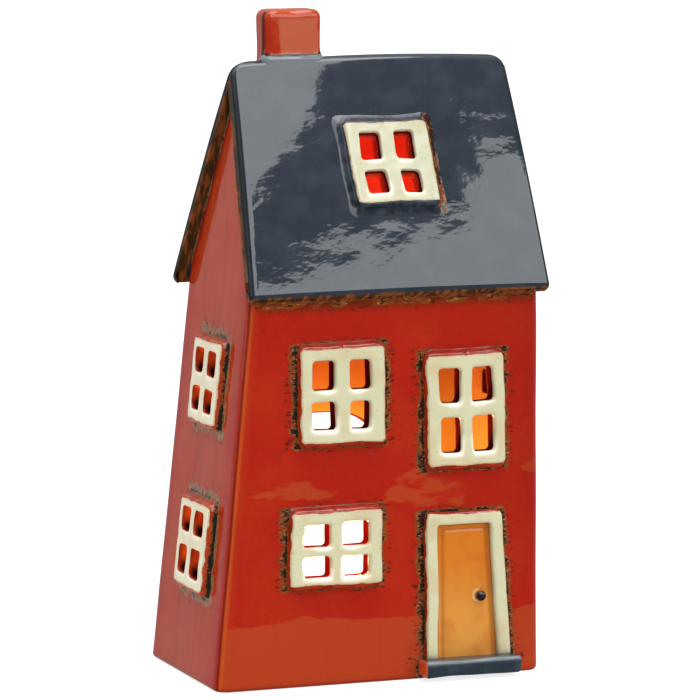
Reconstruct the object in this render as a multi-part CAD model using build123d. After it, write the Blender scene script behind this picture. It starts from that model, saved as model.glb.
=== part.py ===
from build123d import *
import os
from math import cos, radians, sin, tan

# Tealight house: a hand-built glazed clay cottage that stands over a tealight.
# Millimetres, +Z up, +X to the right of the door side, -Y out of the door side.
# The origin is the middle of the walls' footprint, on the surface that the house stands on.

# Walls
HOUSE_WIDTH = 116.0
HOUSE_DEPTH = 72.0
WALL_HEIGHT = 129.0
WALL_THICKNESS = 4.5
CORNER_RADIUS = 5.0
FLOOR_THICKNESS = 6.0

# How far each wall leans in over the wall height; the right gable stands plumb
LEFT_LEAN = 12.7
FRONT_LEAN = 2.0
BACK_LEAN = 3.5

# Roof
ROOF_PITCH = 64.2
ROOF_THICKNESS = 6.0
RAKE_OVERHANG = 2.8
LEFT_RAKE_SKEW = 0.045
RIGHT_RAKE_LEAN = 7.7
RIDGE_RADIUS = 3.3
ROOF_EDGE_RADIUS = 1.6

# Chimney, set back from the ridge line
CHIMNEY_WIDTH = 20.3
CHIMNEY_DEPTH = 11.6
CHIMNEY_CENTRE_X = -18.4
CHIMNEY_SETBACK = 4.4
CHIMNEY_RISE = 11.7
CHIMNEY_RADIUS = 2.6

# Window frames: raised slabs with two by two panes cut right through the wall behind them
FRAME_RELIEF = 3.0
FRAME_BORDER = 4.9
FRAME_BAR = 4.6
FRAME_CORNER_RADIUS = 2.0
PANE_CORNER_RADIUS = 1.4
FRAME_EDGE_RADIUS = 1.1

# Each window: middle across its wall, middle up its wall, width, height, and how far its top is pushed
# sideways. Across runs to the right and up runs up the wall, as seen from outside. The two upper windows
# of the front are set from the middle of the room between what is below them and the eave, and the right
# one from the middle of the door. The roof window's height is counted down from the ridge.
UPPER_LEFT_ACROSS = -13.8
UPPER_LEFT_RAISE = 3.15
UPPER_LEFT_WIDTH = 30.6
UPPER_LEFT_HEIGHT = 34.2
UPPER_LEFT_PUSH = -0.3
UPPER_RIGHT_OFF_DOOR = 0.8
UPPER_RIGHT_DROP = 2.2
UPPER_RIGHT_WIDTH = 28.7
UPPER_RIGHT_HEIGHT = 39.8
UPPER_RIGHT_PUSH = -0.9
LOWER_ACROSS = -16.4
LOWER_UP = 46.6
LOWER_WIDTH = 33.1
LOWER_HEIGHT = 27.0
LOWER_PUSH = 0.4
ROOF_WINDOW_ACROSS = 9.1
ROOF_WINDOW_BELOW_RIDGE = 43.9
ROOF_WINDOW_WIDTH = 30.0
ROOF_WINDOW_HEIGHT = 31.0
ROOF_WINDOW_PUSH = -1.1
GABLE_UPPER_ACROSS = 3.1
GABLE_UPPER_UP = 100.0
GABLE_UPPER_WIDTH = 27.4
GABLE_UPPER_HEIGHT = 30.0
GABLE_UPPER_PUSH = 1.2
GABLE_LOWER_ACROSS = 4.6
GABLE_LOWER_UP = 45.1
GABLE_LOWER_WIDTH = 29.0
GABLE_LOWER_HEIGHT = 31.7
GABLE_LOWER_PUSH = 1.6

# Door and step
DOOR_FROM_RIGHT = 15.1
DOOR_TOP_WIDTH = 27.5
DOOR_FLARE = 3.8
DOOR_TOP = 56.6
DOOR_BAND = 4.4
DOOR_CORNER_RADIUS = 1.6
PANEL_RELIEF = 1.6
PANEL_EDGE_RADIUS = 0.6
KNOB_RADIUS = 1.65
KNOB_NECK_RADIUS = 0.9
KNOB_NECK_LENGTH = 0.7
KNOB_FROM_LATCH_EDGE = 3.5
KNOB_UP = 27.5
STEP_PAST_DOOR = 2.3
STEP_WIDTH = 35.0
STEP_BOTTOM = 1.5
STEP_HEIGHT = 5.5
STEP_REACH = 8.0
STEP_EDGE_RADIUS = 1.2

# Rear opening, from the floor up
OPENING_CENTRE_X = 0.0
OPENING_WIDTH = 54.0
OPENING_TOP = 82.0
OPENING_CORNER_RADIUS = 20.0

# Tealight
CUP_DIAMETER = 38.0
CUP_HEIGHT = 14.0
CUP_WALL = 0.6
CUP_RIM = 0.5
CUP_CENTRE_Y = -1.0
WAX_BELOW_RIM = 2.0
WICK_DIAMETER = 1.8
WICK_ABOVE_WAX = 6.5
TAB_DIAMETER = 12.0
TAB_THICKNESS = 0.4
TAB_COLLAR_DIAMETER = 3.6
TAB_COLLAR_HEIGHT = 3.0
REST_CLEARANCE = 0.2
TEALIGHT_CLEARANCE = 0.08

# Places of the walls, worked out from the sizes above
HALF_WIDTH = HOUSE_WIDTH / 2
HALF_DEPTH = HOUSE_DEPTH / 2
FRONT_TOP_Y = FRONT_LEAN - HALF_DEPTH
BACK_TOP_Y = HALF_DEPTH - BACK_LEAN
RIDGE_Y = (FRONT_TOP_Y + BACK_TOP_Y) / 2
HALF_SPAN = (BACK_TOP_Y - FRONT_TOP_Y) / 2
PITCH = radians(ROOF_PITCH)
ATTIC_APEX = WALL_HEIGHT + HALF_SPAN * tan(PITCH)
RIDGE_TOP = ATTIC_APEX + ROOF_THICKNESS / cos(PITCH)
DOOR_LEFT = HALF_WIDTH - DOOR_FROM_RIGHT - DOOR_TOP_WIDTH
STEP_LEFT = DOOR_LEFT - STEP_PAST_DOOR
UPPER_LEFT_UP = (LOWER_UP + LOWER_HEIGHT / 2 + WALL_HEIGHT) / 2 + UPPER_LEFT_RAISE
UPPER_RIGHT_UP = (DOOR_TOP + WALL_HEIGHT) / 2 - UPPER_RIGHT_DROP
UPPER_RIGHT_ACROSS = DOOR_LEFT + DOOR_TOP_WIDTH / 2 + UPPER_RIGHT_OFF_DOOR

FRONT = Plane((0, -HALF_DEPTH, 0), x_dir=(1, 0, 0), z_dir=(0, -WALL_HEIGHT, FRONT_LEAN))
BACK = Plane((0, HALF_DEPTH, 0), x_dir=(-1, 0, 0), z_dir=(0, WALL_HEIGHT, BACK_LEAN))
LEFT = Plane((-HALF_WIDTH, 0, 0), x_dir=(0, -1, 0), z_dir=(-WALL_HEIGHT, 0, LEFT_LEAN))
RIGHT = Plane((HALF_WIDTH, 0, 0), x_dir=(0, 1, 0), z_dir=(1, 0, 0))
FRONT_ROOF = Plane((0, RIDGE_Y, RIDGE_TOP), x_dir=(1, 0, 0), z_dir=(0, -sin(PITCH), cos(PITCH)))


def plan_corners(z, inset):
    """Corners of the walls' outline at height z, moved in by inset: front left, then round by the right."""
    share = z / WALL_HEIGHT
    left = -HALF_WIDTH + LEFT_LEAN * share + inset
    right = HALF_WIDTH - inset
    front = -HALF_DEPTH + FRONT_LEAN * share + inset
    back = HALF_DEPTH - BACK_LEAN * share - inset
    return [(left, front, z), (right, front, z), (right, back, z), (left, back, z)]


def face_through(points):
    """Flat face with straight edges through the points."""
    return make_face(Polyline(*points, close=True))


def rounded_quad(points, radius):
    """Flat outline through four corners, each rounded."""
    quad = face_through(points)
    return fillet(quad.vertices(), radius)


def walls_block():
    """Solid block inside the walls' outer faces, up past the ridge, with rounded corners."""
    ends = [rounded_quad(plan_corners(z, 0), CORNER_RADIUS) for z in (0, RIDGE_TOP)]
    return loft(ends, ruled=True)


def mitred_wall(first, second):
    """Slab between two corners of the plan, mitred at both ends, as high as the ridge."""
    ends = []
    for z in (0, RIDGE_TOP):
        outer = plan_corners(z, 0)
        inner = plan_corners(z, WALL_THICKNESS)
        ends.append(face_through([outer[first], outer[second], inner[second], inner[first]]))
    return loft(ends, ruled=True)


def along_house(section):
    """Extrude a section of (y, z) points along X, half a house width past each gable."""
    length = 2 * HOUSE_WIDTH
    points = [(-length / 2, y, z) for y, z in section]
    return extrude(face_through(points), amount=length, dir=(1, 0, 0))


def attic_prism():
    """Everything under the roof's underside."""
    reach = ATTIC_APEX / tan(PITCH) + WALL_THICKNESS
    foot = ATTIC_APEX - reach * tan(PITCH)
    return along_house([(RIDGE_Y - reach, foot), (RIDGE_Y, ATTIC_APEX), (RIDGE_Y + reach, foot)])


def window_quad(window, low, high, left, right):
    """Four corners of a part of a window, given in the window's own width and height, pushed sideways."""
    across, up, width, height, push = window

    def corner(x, y):
        return (across + x + push * y / height, up + y)

    return [corner(left, low), corner(right, low), corner(right, high), corner(left, high)]


def window_panes(window):
    """The four pane outlines of a window."""
    across, up, width, height, push = window
    inner_x = FRAME_BAR / 2
    outer_x = width / 2 - FRAME_BORDER
    inner_y = FRAME_BAR / 2
    outer_y = height / 2 - FRAME_BORDER
    panes = []
    for low, high in ((-outer_y, -inner_y), (inner_y, outer_y)):
        for left, right in ((-outer_x, -inner_x), (inner_x, outer_x)):
            panes.append(rounded_quad(window_quad(window, low, high, left, right), PANE_CORNER_RADIUS))
    return panes


def window_frame(plane, window):
    """Raised frame with its four panes cut out and its front edges rounded."""
    across, up, width, height, push = window
    corners = window_quad(window, -height / 2, height / 2, -width / 2, width / 2)
    outline = rounded_quad(corners, FRAME_CORNER_RADIUS)
    for pane in window_panes(window):
        outline -= pane
    frame = extrude(plane * outline, amount=FRAME_RELIEF)
    front_face = frame.faces().sort_by(Axis(plane.origin, plane.z_dir))[-1]
    return fillet(front_face.edges(), FRAME_EDGE_RADIUS)


def pane_holes(plane, window, thickness):
    """Prisms that cut a window's panes through a wall of the given thickness."""
    depth = 2 * thickness
    return [extrude(plane * pane, amount=-depth) for pane in window_panes(window)]


def cut_panes(wall, plane, windows, thickness):
    """The wall with the panes of its windows cut through."""
    for window in windows:
        wall = wall - pane_holes(plane, window, thickness)
    return only_solid(wall)


def only_solid(shape):
    """The one solid in a result."""
    return shape.solids().sort_by(SortBy.VOLUME)[-1]


UPPER_LEFT = (UPPER_LEFT_ACROSS, UPPER_LEFT_UP, UPPER_LEFT_WIDTH, UPPER_LEFT_HEIGHT, UPPER_LEFT_PUSH)
UPPER_RIGHT = (UPPER_RIGHT_ACROSS, UPPER_RIGHT_UP, UPPER_RIGHT_WIDTH, UPPER_RIGHT_HEIGHT, UPPER_RIGHT_PUSH)
LOWER = (LOWER_ACROSS, LOWER_UP, LOWER_WIDTH, LOWER_HEIGHT, LOWER_PUSH)
ROOF_WINDOW = (ROOF_WINDOW_ACROSS, -ROOF_WINDOW_BELOW_RIDGE, ROOF_WINDOW_WIDTH, ROOF_WINDOW_HEIGHT,
               ROOF_WINDOW_PUSH)
LEFT_UPPER = (GABLE_UPPER_ACROSS, GABLE_UPPER_UP, GABLE_UPPER_WIDTH, GABLE_UPPER_HEIGHT, GABLE_UPPER_PUSH)
LEFT_LOWER = (GABLE_LOWER_ACROSS, GABLE_LOWER_UP, GABLE_LOWER_WIDTH, GABLE_LOWER_HEIGHT, GABLE_LOWER_PUSH)
RIGHT_UPPER = (-GABLE_UPPER_ACROSS, GABLE_UPPER_UP, GABLE_UPPER_WIDTH, GABLE_UPPER_HEIGHT, -GABLE_UPPER_PUSH)
RIGHT_LOWER = (-GABLE_LOWER_ACROSS, GABLE_LOWER_UP, GABLE_LOWER_WIDTH, GABLE_LOWER_HEIGHT, -GABLE_LOWER_PUSH)


def rear_opening():
    """Prism of the rear opening: square at the floor, rounded at its top corners."""
    left = -OPENING_CENTRE_X - OPENING_WIDTH / 2
    right = left + OPENING_WIDTH
    outline = face_through([(left, FLOOR_THICKNESS), (right, FLOOR_THICKNESS),
                            (right, OPENING_TOP), (left, OPENING_TOP)])
    widest_radius = OPENING_WIDTH / 2 - PANE_CORNER_RADIUS
    radius = min(OPENING_CORNER_RADIUS, widest_radius)
    outline = fillet(outline.vertices().sort_by(Axis.Y)[-2:], radius)
    return extrude(BACK * outline, amount=2 * WALL_THICKNESS, both=True)


def make_walls():
    """The four walls, mitred at the corners, under the roof, with their panes and the rear opening."""
    block = walls_block()
    attic = attic_prism()
    front, right, back, left = [only_solid(mitred_wall(i, (i + 1) % 4) & block & attic) for i in range(4)]
    back = only_solid(back - rear_opening())
    return {
        "front_wall": cut_panes(front, FRONT, (UPPER_LEFT, UPPER_RIGHT, LOWER), WALL_THICKNESS),
        "right_gable": cut_panes(right, RIGHT, (RIGHT_UPPER, RIGHT_LOWER), WALL_THICKNESS),
        "back_wall": back,
        "left_gable": cut_panes(left, LEFT, (LEFT_UPPER, LEFT_LOWER), WALL_THICKNESS),
    }


def make_floor():
    """Floor slab between the walls' inner faces."""
    return loft([face_through(plan_corners(z, WALL_THICKNESS)) for z in (0, FLOOR_THICKNESS)], ruled=True)


def roof_block():
    """Solid of the whole roof down to the eaves, with its rounded ridge and leaning rake ends."""
    out_y = ROOF_THICKNESS * sin(PITCH)
    out_z = ROOF_THICKNESS * cos(PITCH)
    section = [(FRONT_TOP_Y, WALL_HEIGHT), (FRONT_TOP_Y - out_y, WALL_HEIGHT + out_z), (RIDGE_Y, RIDGE_TOP),
               (BACK_TOP_Y + out_y, WALL_HEIGHT + out_z), (BACK_TOP_Y, WALL_HEIGHT)]
    block = along_house(section)
    block = fillet(block.edges().sort_by(Axis.Z)[-1], RIDGE_RADIUS)
    left_rake = Plane(LEFT.offset(RAKE_OVERHANG).origin, x_dir=LEFT.x_dir,
                      z_dir=(-WALL_HEIGHT, -LEFT_RAKE_SKEW * WALL_HEIGHT, LEFT_LEAN))
    right_end = HALF_WIDTH + RAKE_OVERHANG + RIGHT_RAKE_LEAN * WALL_HEIGHT / RIDGE_TOP
    right_rake = Plane((right_end, 0, 0), x_dir=(0, 1, 0), z_dir=(RIDGE_TOP, 0, RIGHT_RAKE_LEAN))
    block = split(block, bisect_by=left_rake, keep=Keep.BOTTOM)
    return split(block, bisect_by=right_rake, keep=Keep.BOTTOM)


def make_roof():
    """Two roof slabs that meet on the ridge line, square-cut at the eaves, and the chimney over them."""
    block = roof_block()
    chevron = only_solid(block - attic_prism())
    eaves_and_rakes = chevron.edges().filter_by(is_outer_roof_edge)
    chevron = only_solid(fillet(eaves_and_rakes, ROOF_EDGE_RADIUS))
    ridge_plane = Plane((0, RIDGE_Y, 0), x_dir=(1, 0, 0), z_dir=(0, 1, 0))
    front = only_solid(split(chevron, bisect_by=ridge_plane, keep=Keep.BOTTOM))
    back = only_solid(split(chevron, bisect_by=ridge_plane, keep=Keep.TOP))
    return {
        "front_roof_slab": cut_panes(front, FRONT_ROOF, (ROOF_WINDOW,), ROOF_THICKNESS),
        "back_roof_slab": back,
        "chimney": make_chimney(block),
    }


def is_outer_roof_edge(edge):
    """True for the roof's outer eave edges and the outer edges of its rake ends."""
    middle = edge @ 0.5
    depth_below = (RIDGE_TOP - middle.Z) * cos(PITCH) - abs(middle.Y - RIDGE_Y) * sin(PITCH)
    on_outer_face = depth_below < ROOF_THICKNESS / 2
    along_x = abs((edge % 0.5).X) > 0.9
    on_eave = along_x and middle.Z < WALL_HEIGHT + ROOF_THICKNESS
    return on_outer_face and (on_eave or not along_x)


def make_chimney(roof):
    """Closed block that sits over the ridge, cut to the roof's outer faces, with softened edges."""
    foot = ATTIC_APEX - CHIMNEY_DEPTH * tan(PITCH)
    top = RIDGE_TOP + CHIMNEY_RISE
    middle = (CHIMNEY_CENTRE_X, RIDGE_Y + CHIMNEY_SETBACK, (foot + top) / 2)
    block = Pos(*middle) * Box(CHIMNEY_WIDTH, CHIMNEY_DEPTH, top - foot)
    soft_edges = block.edges().filter_by(Axis.Z) + block.faces().sort_by(Axis.Z)[-1].edges()
    block = fillet(soft_edges, CHIMNEY_RADIUS)
    return (block - roof - attic_prism()).solids().sort_by(Axis.Z)[-1]


def door_outline(inset):
    """Outline of the door, wider at its foot on the right, moved in by inset on its sides and top."""
    foot = STEP_BOTTOM + STEP_HEIGHT
    left = DOOR_LEFT + inset
    right = DOOR_LEFT + DOOR_TOP_WIDTH - inset
    top = DOOR_TOP - inset
    outline = face_through([(left, foot), (right + DOOR_FLARE, foot), (right, top), (left, top)])
    return fillet(outline.vertices().sort_by(Axis.Y)[-2:], DOOR_CORNER_RADIUS)


def make_door():
    """Raised frame round three sides, the thinner panel inside it, and the knob on the panel."""
    outer = Axis(FRONT.origin, FRONT.z_dir)
    opening = door_outline(DOOR_BAND)
    frame = only_solid(extrude(FRONT * (door_outline(0) - opening), amount=FRAME_RELIEF))
    frame = fillet(frame.faces().sort_by(outer)[-1].edges(), FRAME_EDGE_RADIUS)
    panel = extrude(FRONT * opening, amount=PANEL_RELIEF)
    panel = fillet(panel.faces().sort_by(outer)[-1].edges(), PANEL_EDGE_RADIUS)
    latch_edge = DOOR_LEFT + DOOR_TOP_WIDTH - DOOR_BAND
    knob_across = latch_edge - KNOB_FROM_LATCH_EDGE
    seat = FRONT * Pos(knob_across, KNOB_UP, PANEL_RELIEF)
    neck_length = KNOB_NECK_LENGTH + KNOB_RADIUS
    neck = Pos(0, 0, neck_length / 2) * Cylinder(KNOB_NECK_RADIUS, neck_length)
    ball = Pos(0, 0, neck_length) * Sphere(KNOB_RADIUS)
    return {"door_frame": frame, "door_panel": panel, "door_knob": only_solid(seat * (neck + ball))}


def make_step():
    """Slab on the front wall under the door."""
    middle = Pos(STEP_LEFT + STEP_WIDTH / 2, STEP_BOTTOM + STEP_HEIGHT / 2)
    step = extrude(FRONT * middle * Rectangle(STEP_WIDTH, STEP_HEIGHT), amount=STEP_REACH)
    front_face = step.faces().sort_by(Axis(FRONT.origin, FRONT.z_dir))[-1]
    return fillet(front_face.edges(), STEP_EDGE_RADIUS)


def turned(profile, foot):
    """Solid turned about a vertical axis through foot from (radius, height) points."""
    points = [(radius, 0, height) for radius, height in profile]
    return Pos(*foot) * revolve(face_through(points), axis=Axis.Z)


def make_tealight():
    """Cup, wax, wick tab and wick, standing on the floor in line with the rear opening."""
    foot = (OPENING_CENTRE_X, CUP_CENTRE_Y, FLOOR_THICKNESS + REST_CLEARANCE)
    cup_r = CUP_DIAMETER / 2
    bore_r = cup_r - CUP_WALL
    wax_r = bore_r - TEALIGHT_CLEARANCE
    wax_top = CUP_HEIGHT - WAX_BELOW_RIM
    rim_r = cup_r + CUP_RIM
    rim_low = CUP_HEIGHT - CUP_WALL
    tab_r = TAB_DIAMETER / 2
    tab_top = CUP_WALL + TAB_THICKNESS
    collar_r = TAB_COLLAR_DIAMETER / 2
    collar_top = tab_top + TAB_COLLAR_HEIGHT
    wick_r = WICK_DIAMETER / 2
    wick_top = wax_top + WICK_ABOVE_WAX
    gap = TEALIGHT_CLEARANCE
    cup = [(0, 0), (cup_r, 0), (cup_r, rim_low), (rim_r, rim_low), (rim_r, CUP_HEIGHT), (bore_r, CUP_HEIGHT),
           (bore_r, CUP_WALL), (0, CUP_WALL)]
    over_tab = tab_top + gap
    over_collar = collar_top + gap
    wax = [(tab_r + gap, CUP_WALL), (wax_r, CUP_WALL), (wax_r, wax_top), (wick_r + gap, wax_top),
           (wick_r + gap, over_collar), (collar_r + gap, over_collar), (collar_r + gap, over_tab),
           (tab_r + gap, over_tab)]
    tab = [(0, CUP_WALL), (tab_r, CUP_WALL), (tab_r, tab_top), (collar_r, tab_top), (collar_r, collar_top),
           (wick_r + gap, collar_top), (wick_r + gap, tab_top), (0, tab_top)]
    wick = [(0, tab_top), (wick_r, tab_top), (wick_r, wick_top), (0, wick_top)]
    return {
        "tealight_cup": turned(cup, foot),
        "tealight_wax": turned(wax, foot),
        "wick_tab": turned(tab, foot),
        "wick": turned(wick, foot),
    }


def make_windows():
    """The raised window frames, each on its own wall or on the roof."""
    places = {
        "front_upper_left_window": (FRONT, UPPER_LEFT),
        "front_upper_right_window": (FRONT, UPPER_RIGHT),
        "front_lower_window": (FRONT, LOWER),
        "roof_window": (FRONT_ROOF, ROOF_WINDOW),
        "left_upper_window": (LEFT, LEFT_UPPER),
        "left_lower_window": (LEFT, LEFT_LOWER),
        "right_upper_window": (RIGHT, RIGHT_UPPER),
        "right_lower_window": (RIGHT, RIGHT_LOWER),
    }
    return {name: window_frame(plane, window) for name, (plane, window) in places.items()}


def make_house():
    """Every piece of the house and its tealight, by name."""
    pieces = {"floor_slab": make_floor(), "doorstep": make_step()}
    for group in (make_walls(), make_roof(), make_windows(), make_door(), make_tealight()):
        pieces.update(group)
    return pieces


os.makedirs("parts", exist_ok=True)
for name, shape in make_house().items():
    solid = only_solid(shape)
    solid.label = name
    export_step(solid, f"parts/{name}.step")
    box = solid.bounding_box()
    print(f"{name}: {solid.volume:.0f} mm3, {box.size.X:.1f} x {box.size.Y:.1f} x {box.size.Z:.1f} mm")
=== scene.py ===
# %% [markdown]
# # A glazed tealight house
# The real thing is a small stoneware house: thin slabs of clay joined at the
# corners, a slate-blue roof, window frames pressed on as separate rolled
# pieces and everything dipped in a thick glossy glaze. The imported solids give
# every place and size. This lesson dresses them: each piece is a surface worked
# out with numpy and laid exactly where its solid is.

# %% Load the solids
import math

import bpy
import numpy as np
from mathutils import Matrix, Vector


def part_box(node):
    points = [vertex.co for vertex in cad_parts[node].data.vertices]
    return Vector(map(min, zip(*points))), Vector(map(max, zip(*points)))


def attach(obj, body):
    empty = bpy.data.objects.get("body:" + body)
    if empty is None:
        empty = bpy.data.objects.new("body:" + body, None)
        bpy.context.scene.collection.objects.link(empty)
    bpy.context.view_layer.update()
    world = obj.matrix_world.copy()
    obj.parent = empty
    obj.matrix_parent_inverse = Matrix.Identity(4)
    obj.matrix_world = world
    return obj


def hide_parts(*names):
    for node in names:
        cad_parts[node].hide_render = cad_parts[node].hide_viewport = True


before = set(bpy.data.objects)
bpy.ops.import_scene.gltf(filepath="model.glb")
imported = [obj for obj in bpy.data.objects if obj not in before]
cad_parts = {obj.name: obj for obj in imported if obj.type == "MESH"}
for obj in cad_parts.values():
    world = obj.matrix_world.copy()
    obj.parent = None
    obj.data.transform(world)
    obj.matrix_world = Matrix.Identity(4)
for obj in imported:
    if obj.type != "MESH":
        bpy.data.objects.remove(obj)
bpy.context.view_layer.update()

MM = 0.001
scene = bpy.context.scene

# %% [markdown]
# ## The house's few driving sizes
# A hand-built house is never square: its left gable leans in, its front and
# back lean a little, and only the right gable stands plumb. All the walls below
# are worked out from these sizes, in millimetres, so they meet at the corners.

# %% Driving sizes
HOUSE_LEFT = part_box("left_gable")[0].x / MM
HOUSE_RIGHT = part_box("right_gable")[1].x / MM
HOUSE_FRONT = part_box("front_wall")[0].y / MM
HOUSE_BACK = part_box("back_wall")[1].y / MM
WALL_HEIGHT = 129.0
WALL_THICKNESS = 4.5
CORNER_RADIUS = 5.0
LEFT_LEAN = 12.7
FRONT_LEAN = 2.0
BACK_LEAN = 3.5
ROOF_PITCH = math.radians(64.2)
ROOF_THICKNESS = 6.0
FRAME_RELIEF = 3.0

SLOPE = math.tan(ROOF_PITCH)
WALL_TOP_FRONT = HOUSE_FRONT + FRONT_LEAN
WALL_TOP_BACK = HOUSE_BACK - BACK_LEAN
RIDGE_Y = (WALL_TOP_FRONT + WALL_TOP_BACK) / 2
ATTIC_APEX = WALL_HEIGHT + (WALL_TOP_BACK - WALL_TOP_FRONT) / 2 * SLOPE
RIDGE_TOP = ATTIC_APEX + ROOF_THICKNESS / math.cos(ROOF_PITCH)
print("ridge at y", round(RIDGE_Y, 2), "virtual ridge height", round(RIDGE_TOP, 2))

# %% [markdown]
# ## Meshes from arrays
# Every piece is a grid of points, so one helper numbers the grid's quads and
# another turns points and faces into a mesh. A closed surface has a volume, and
# its sign tells whether the faces look outwards, so the helper can turn them.


# %% Grid and mesh helpers
def grid_quads(rows, columns, ring_rows=False, ring_columns=False, first=0):
    """Quads of points kept row by row: each joins a point, the next one in its
    row and the same two of the next row. A ring joins the last to the first."""
    row, column = np.meshgrid(
        np.arange(rows if ring_rows else rows - 1),
        np.arange(columns if ring_columns else columns - 1),
        indexing="ij",
    )
    below = (row + 1) % rows
    beside = (column + 1) % columns
    corners = (row * columns + column, row * columns + beside,
               below * columns + beside, below * columns + column)
    return first + np.stack(corners, -1).reshape(-1, 4)


def end_caps(rows, columns):
    """Faces that close the first and the last ring of a tube."""
    ring = np.arange(columns)
    return [ring[::-1], (rows - 1) * columns + ring]


def enclosed_volume(points, quads, caps):
    """Sum over the faces' triangles of a . (b x c), which is six times the
    volume and is positive where the faces look outwards."""
    fans = [quads[:, [0, 1, 2]], quads[:, [0, 2, 3]]]
    fans += [np.stack([np.full(len(c) - 2, c[0]), c[1:-1], c[2:]], -1) for c in caps]
    a, b, c = (points[np.concatenate(fans)[:, k]] for k in range(3))
    return np.einsum("ij,ij->", a, np.cross(b, c))


print("quads of a 3 by 4 grid:", len(grid_quads(3, 4)))


# %% Mesh from points and faces
def mesh_of(name, points, quads, caps=(), marks=None, sharp=42.0):
    """Closed mesh from points in millimetres, quads and larger cap faces, with
    one number per point for each mark, smooth except where it turns sharply."""
    caps = [np.asarray(c) for c in caps]
    if enclosed_volume(points, quads, caps) < 0:
        quads = quads[:, ::-1]
        caps = [c[::-1] for c in caps]
    loops = np.concatenate([quads.ravel()] + caps).astype(np.int32)
    sizes = np.array([4] * len(quads) + [len(c) for c in caps])
    mesh = bpy.data.meshes.new(name)
    mesh.vertices.add(len(points))
    mesh.vertices.foreach_set("co", (points * MM).astype(np.float32).ravel())
    mesh.loops.add(len(loops))
    mesh.loops.foreach_set("vertex_index", loops)
    mesh.polygons.add(len(sizes))
    mesh.polygons.foreach_set("loop_start", (np.cumsum(sizes) - sizes).astype(np.int32))
    mesh.update(calc_edges=True)
    mesh.validate()
    write_marks(mesh, marks or {})
    soften(mesh, sharp)
    return mesh


def tube_mesh(name, rings, marks=None, sharp=42.0):
    """Closed tube from rings of points, capped at its first and last ring."""
    n, m = rings.shape[:2]
    quads = grid_quads(n, m, ring_columns=True)
    return mesh_of(name, rings.reshape(-1, 3), quads, end_caps(n, m), marks, sharp)


def soften(mesh, sharp):
    """Smooth shading, except at edges that turn by more than `sharp` degrees."""
    mesh.shade_smooth()
    mesh.set_sharp_from_angle(angle=math.radians(sharp))


def box_in_mm(node_name):
    """Lowest and highest corner of a solid, in millimetres."""
    return [np.array(corner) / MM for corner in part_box(node_name)]


def write_marks(mesh, marks):
    """Stores each named array as a float attribute of the mesh's points."""
    for key, values in marks.items():
        store = mesh.attributes.new(key, "FLOAT", "POINT")
        store.data.foreach_set("value", np.ravel(values).astype(np.float32))


def weld(points, quads, marks):
    """Merges points that fall into the same thousandth of a millimetre. The
    small offset keeps round numbers away from the border between two."""
    _, keep, renumber = np.unique(
        np.round(points + 0.00013, 3), axis=0, return_index=True, return_inverse=True)
    marks = {key: np.ravel(values)[keep] for key, values in marks.items()}
    return points[keep], renumber.reshape(-1)[quads], marks


def lay_piece(name, mesh, material, body, slot, *nodes):
    """Makes the piece, lets it ride on its body and hides the solids it dresses."""
    piece = bpy.data.objects.new(name, mesh)
    scene.collection.objects.link(piece)
    mesh.materials.clear()
    mesh.materials.append(material)
    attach(piece, body)
    if nodes:
        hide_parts(*nodes)
    print(name, "points", len(mesh.vertices), "faces", len(mesh.polygons))
    return piece


# %% [markdown]
# ## Hand-made unevenness
# Clay pressed by hand waves a little everywhere. A few sine waves in random
# directions give that without any noise file. A quarter-round edge is the other
# shape that comes back in every piece: how far a surface drops when it is closer
# to its edge than the rounding's radius.


# %% Waves and rounded edges
def waves(points, size, seed):
    """Mean of seven sine waves about `size` mm long in random directions."""
    rng = np.random.default_rng(seed)
    ways = rng.normal(size=(7, points.shape[-1]))
    ways /= np.linalg.norm(ways, axis=1, keepdims=True)
    ways *= 2 * np.pi / size * rng.uniform(0.7, 1.4, (7, 1))
    return np.sin(points @ ways.T + rng.uniform(0, 6.28, 7)).mean(-1) * 1.6


def edge_drop(distance, radius):
    """Drop of a quarter-round: r - sqrt(r^2 - (r - d)^2) inside the radius."""
    inside = radius - np.clip(distance, 0, radius)
    return radius - np.sqrt(np.maximum(radius**2 - inside**2, 0))


def box_distance(points, low, high, radius=0.0):
    """Signed distance from a rounded rectangle, negative inside."""
    low, high = np.asarray(low), np.asarray(high)
    outside = np.abs(points - (low + high) / 2) - (high - low) / 2 + radius
    return (np.linalg.norm(np.maximum(outside, 0), axis=-1)
            + np.minimum(outside.max(-1), 0) - radius)


def rounded_loop(low, high, radii, count):
    """Closed loop round a rectangle, anticlockwise from its lower left corner.
    Each side runs from half way round one rounded corner to half way round the
    next, with `count` points spaced evenly along arc, straight and arc."""
    corners = np.array([(low[0], low[1]), (high[0], low[1]),
                        (high[0], high[1]), (low[0], high[1])], float)
    sides = []
    for k in range(4):
        start, end = corners[k], corners[(k + 1) % 4]
        r0, r1 = max(radii[k], 1e-6), max(radii[(k + 1) % 4], 1e-6)
        length = np.linalg.norm(end - start)
        along = (end - start) / length
        inward = np.array((-along[1], along[0]))
        arc0, arc1, straight = r0 * np.pi / 4, r1 * np.pi / 4, length - r0 - r1
        s = np.linspace(0, arc0 + straight + arc1, count, endpoint=False)
        turn0 = np.pi / 4 + np.clip(s, 0, arc0) / r0
        turn1 = np.pi / 2 - np.clip(s - arc0 - straight, 0, arc1) / r1
        first, last = s < arc0, s > arc0 + straight
        a = np.where(first, r0 * (1 - np.cos(turn0)), r0 + s - arc0)
        a = np.where(last, length - r1 * (1 - np.cos(turn1)), a)
        b = np.where(first, r0 * (1 - np.sin(turn0)), 0.0)
        b = np.where(last, r1 * (1 - np.sin(turn1)), b)
        sides.append(start + a[:, None] * along + b[:, None] * inward)
    return np.concatenate(sides)


print("wave check:", np.round(waves(np.zeros((1, 3)), 30.0, 1), 3))

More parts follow.
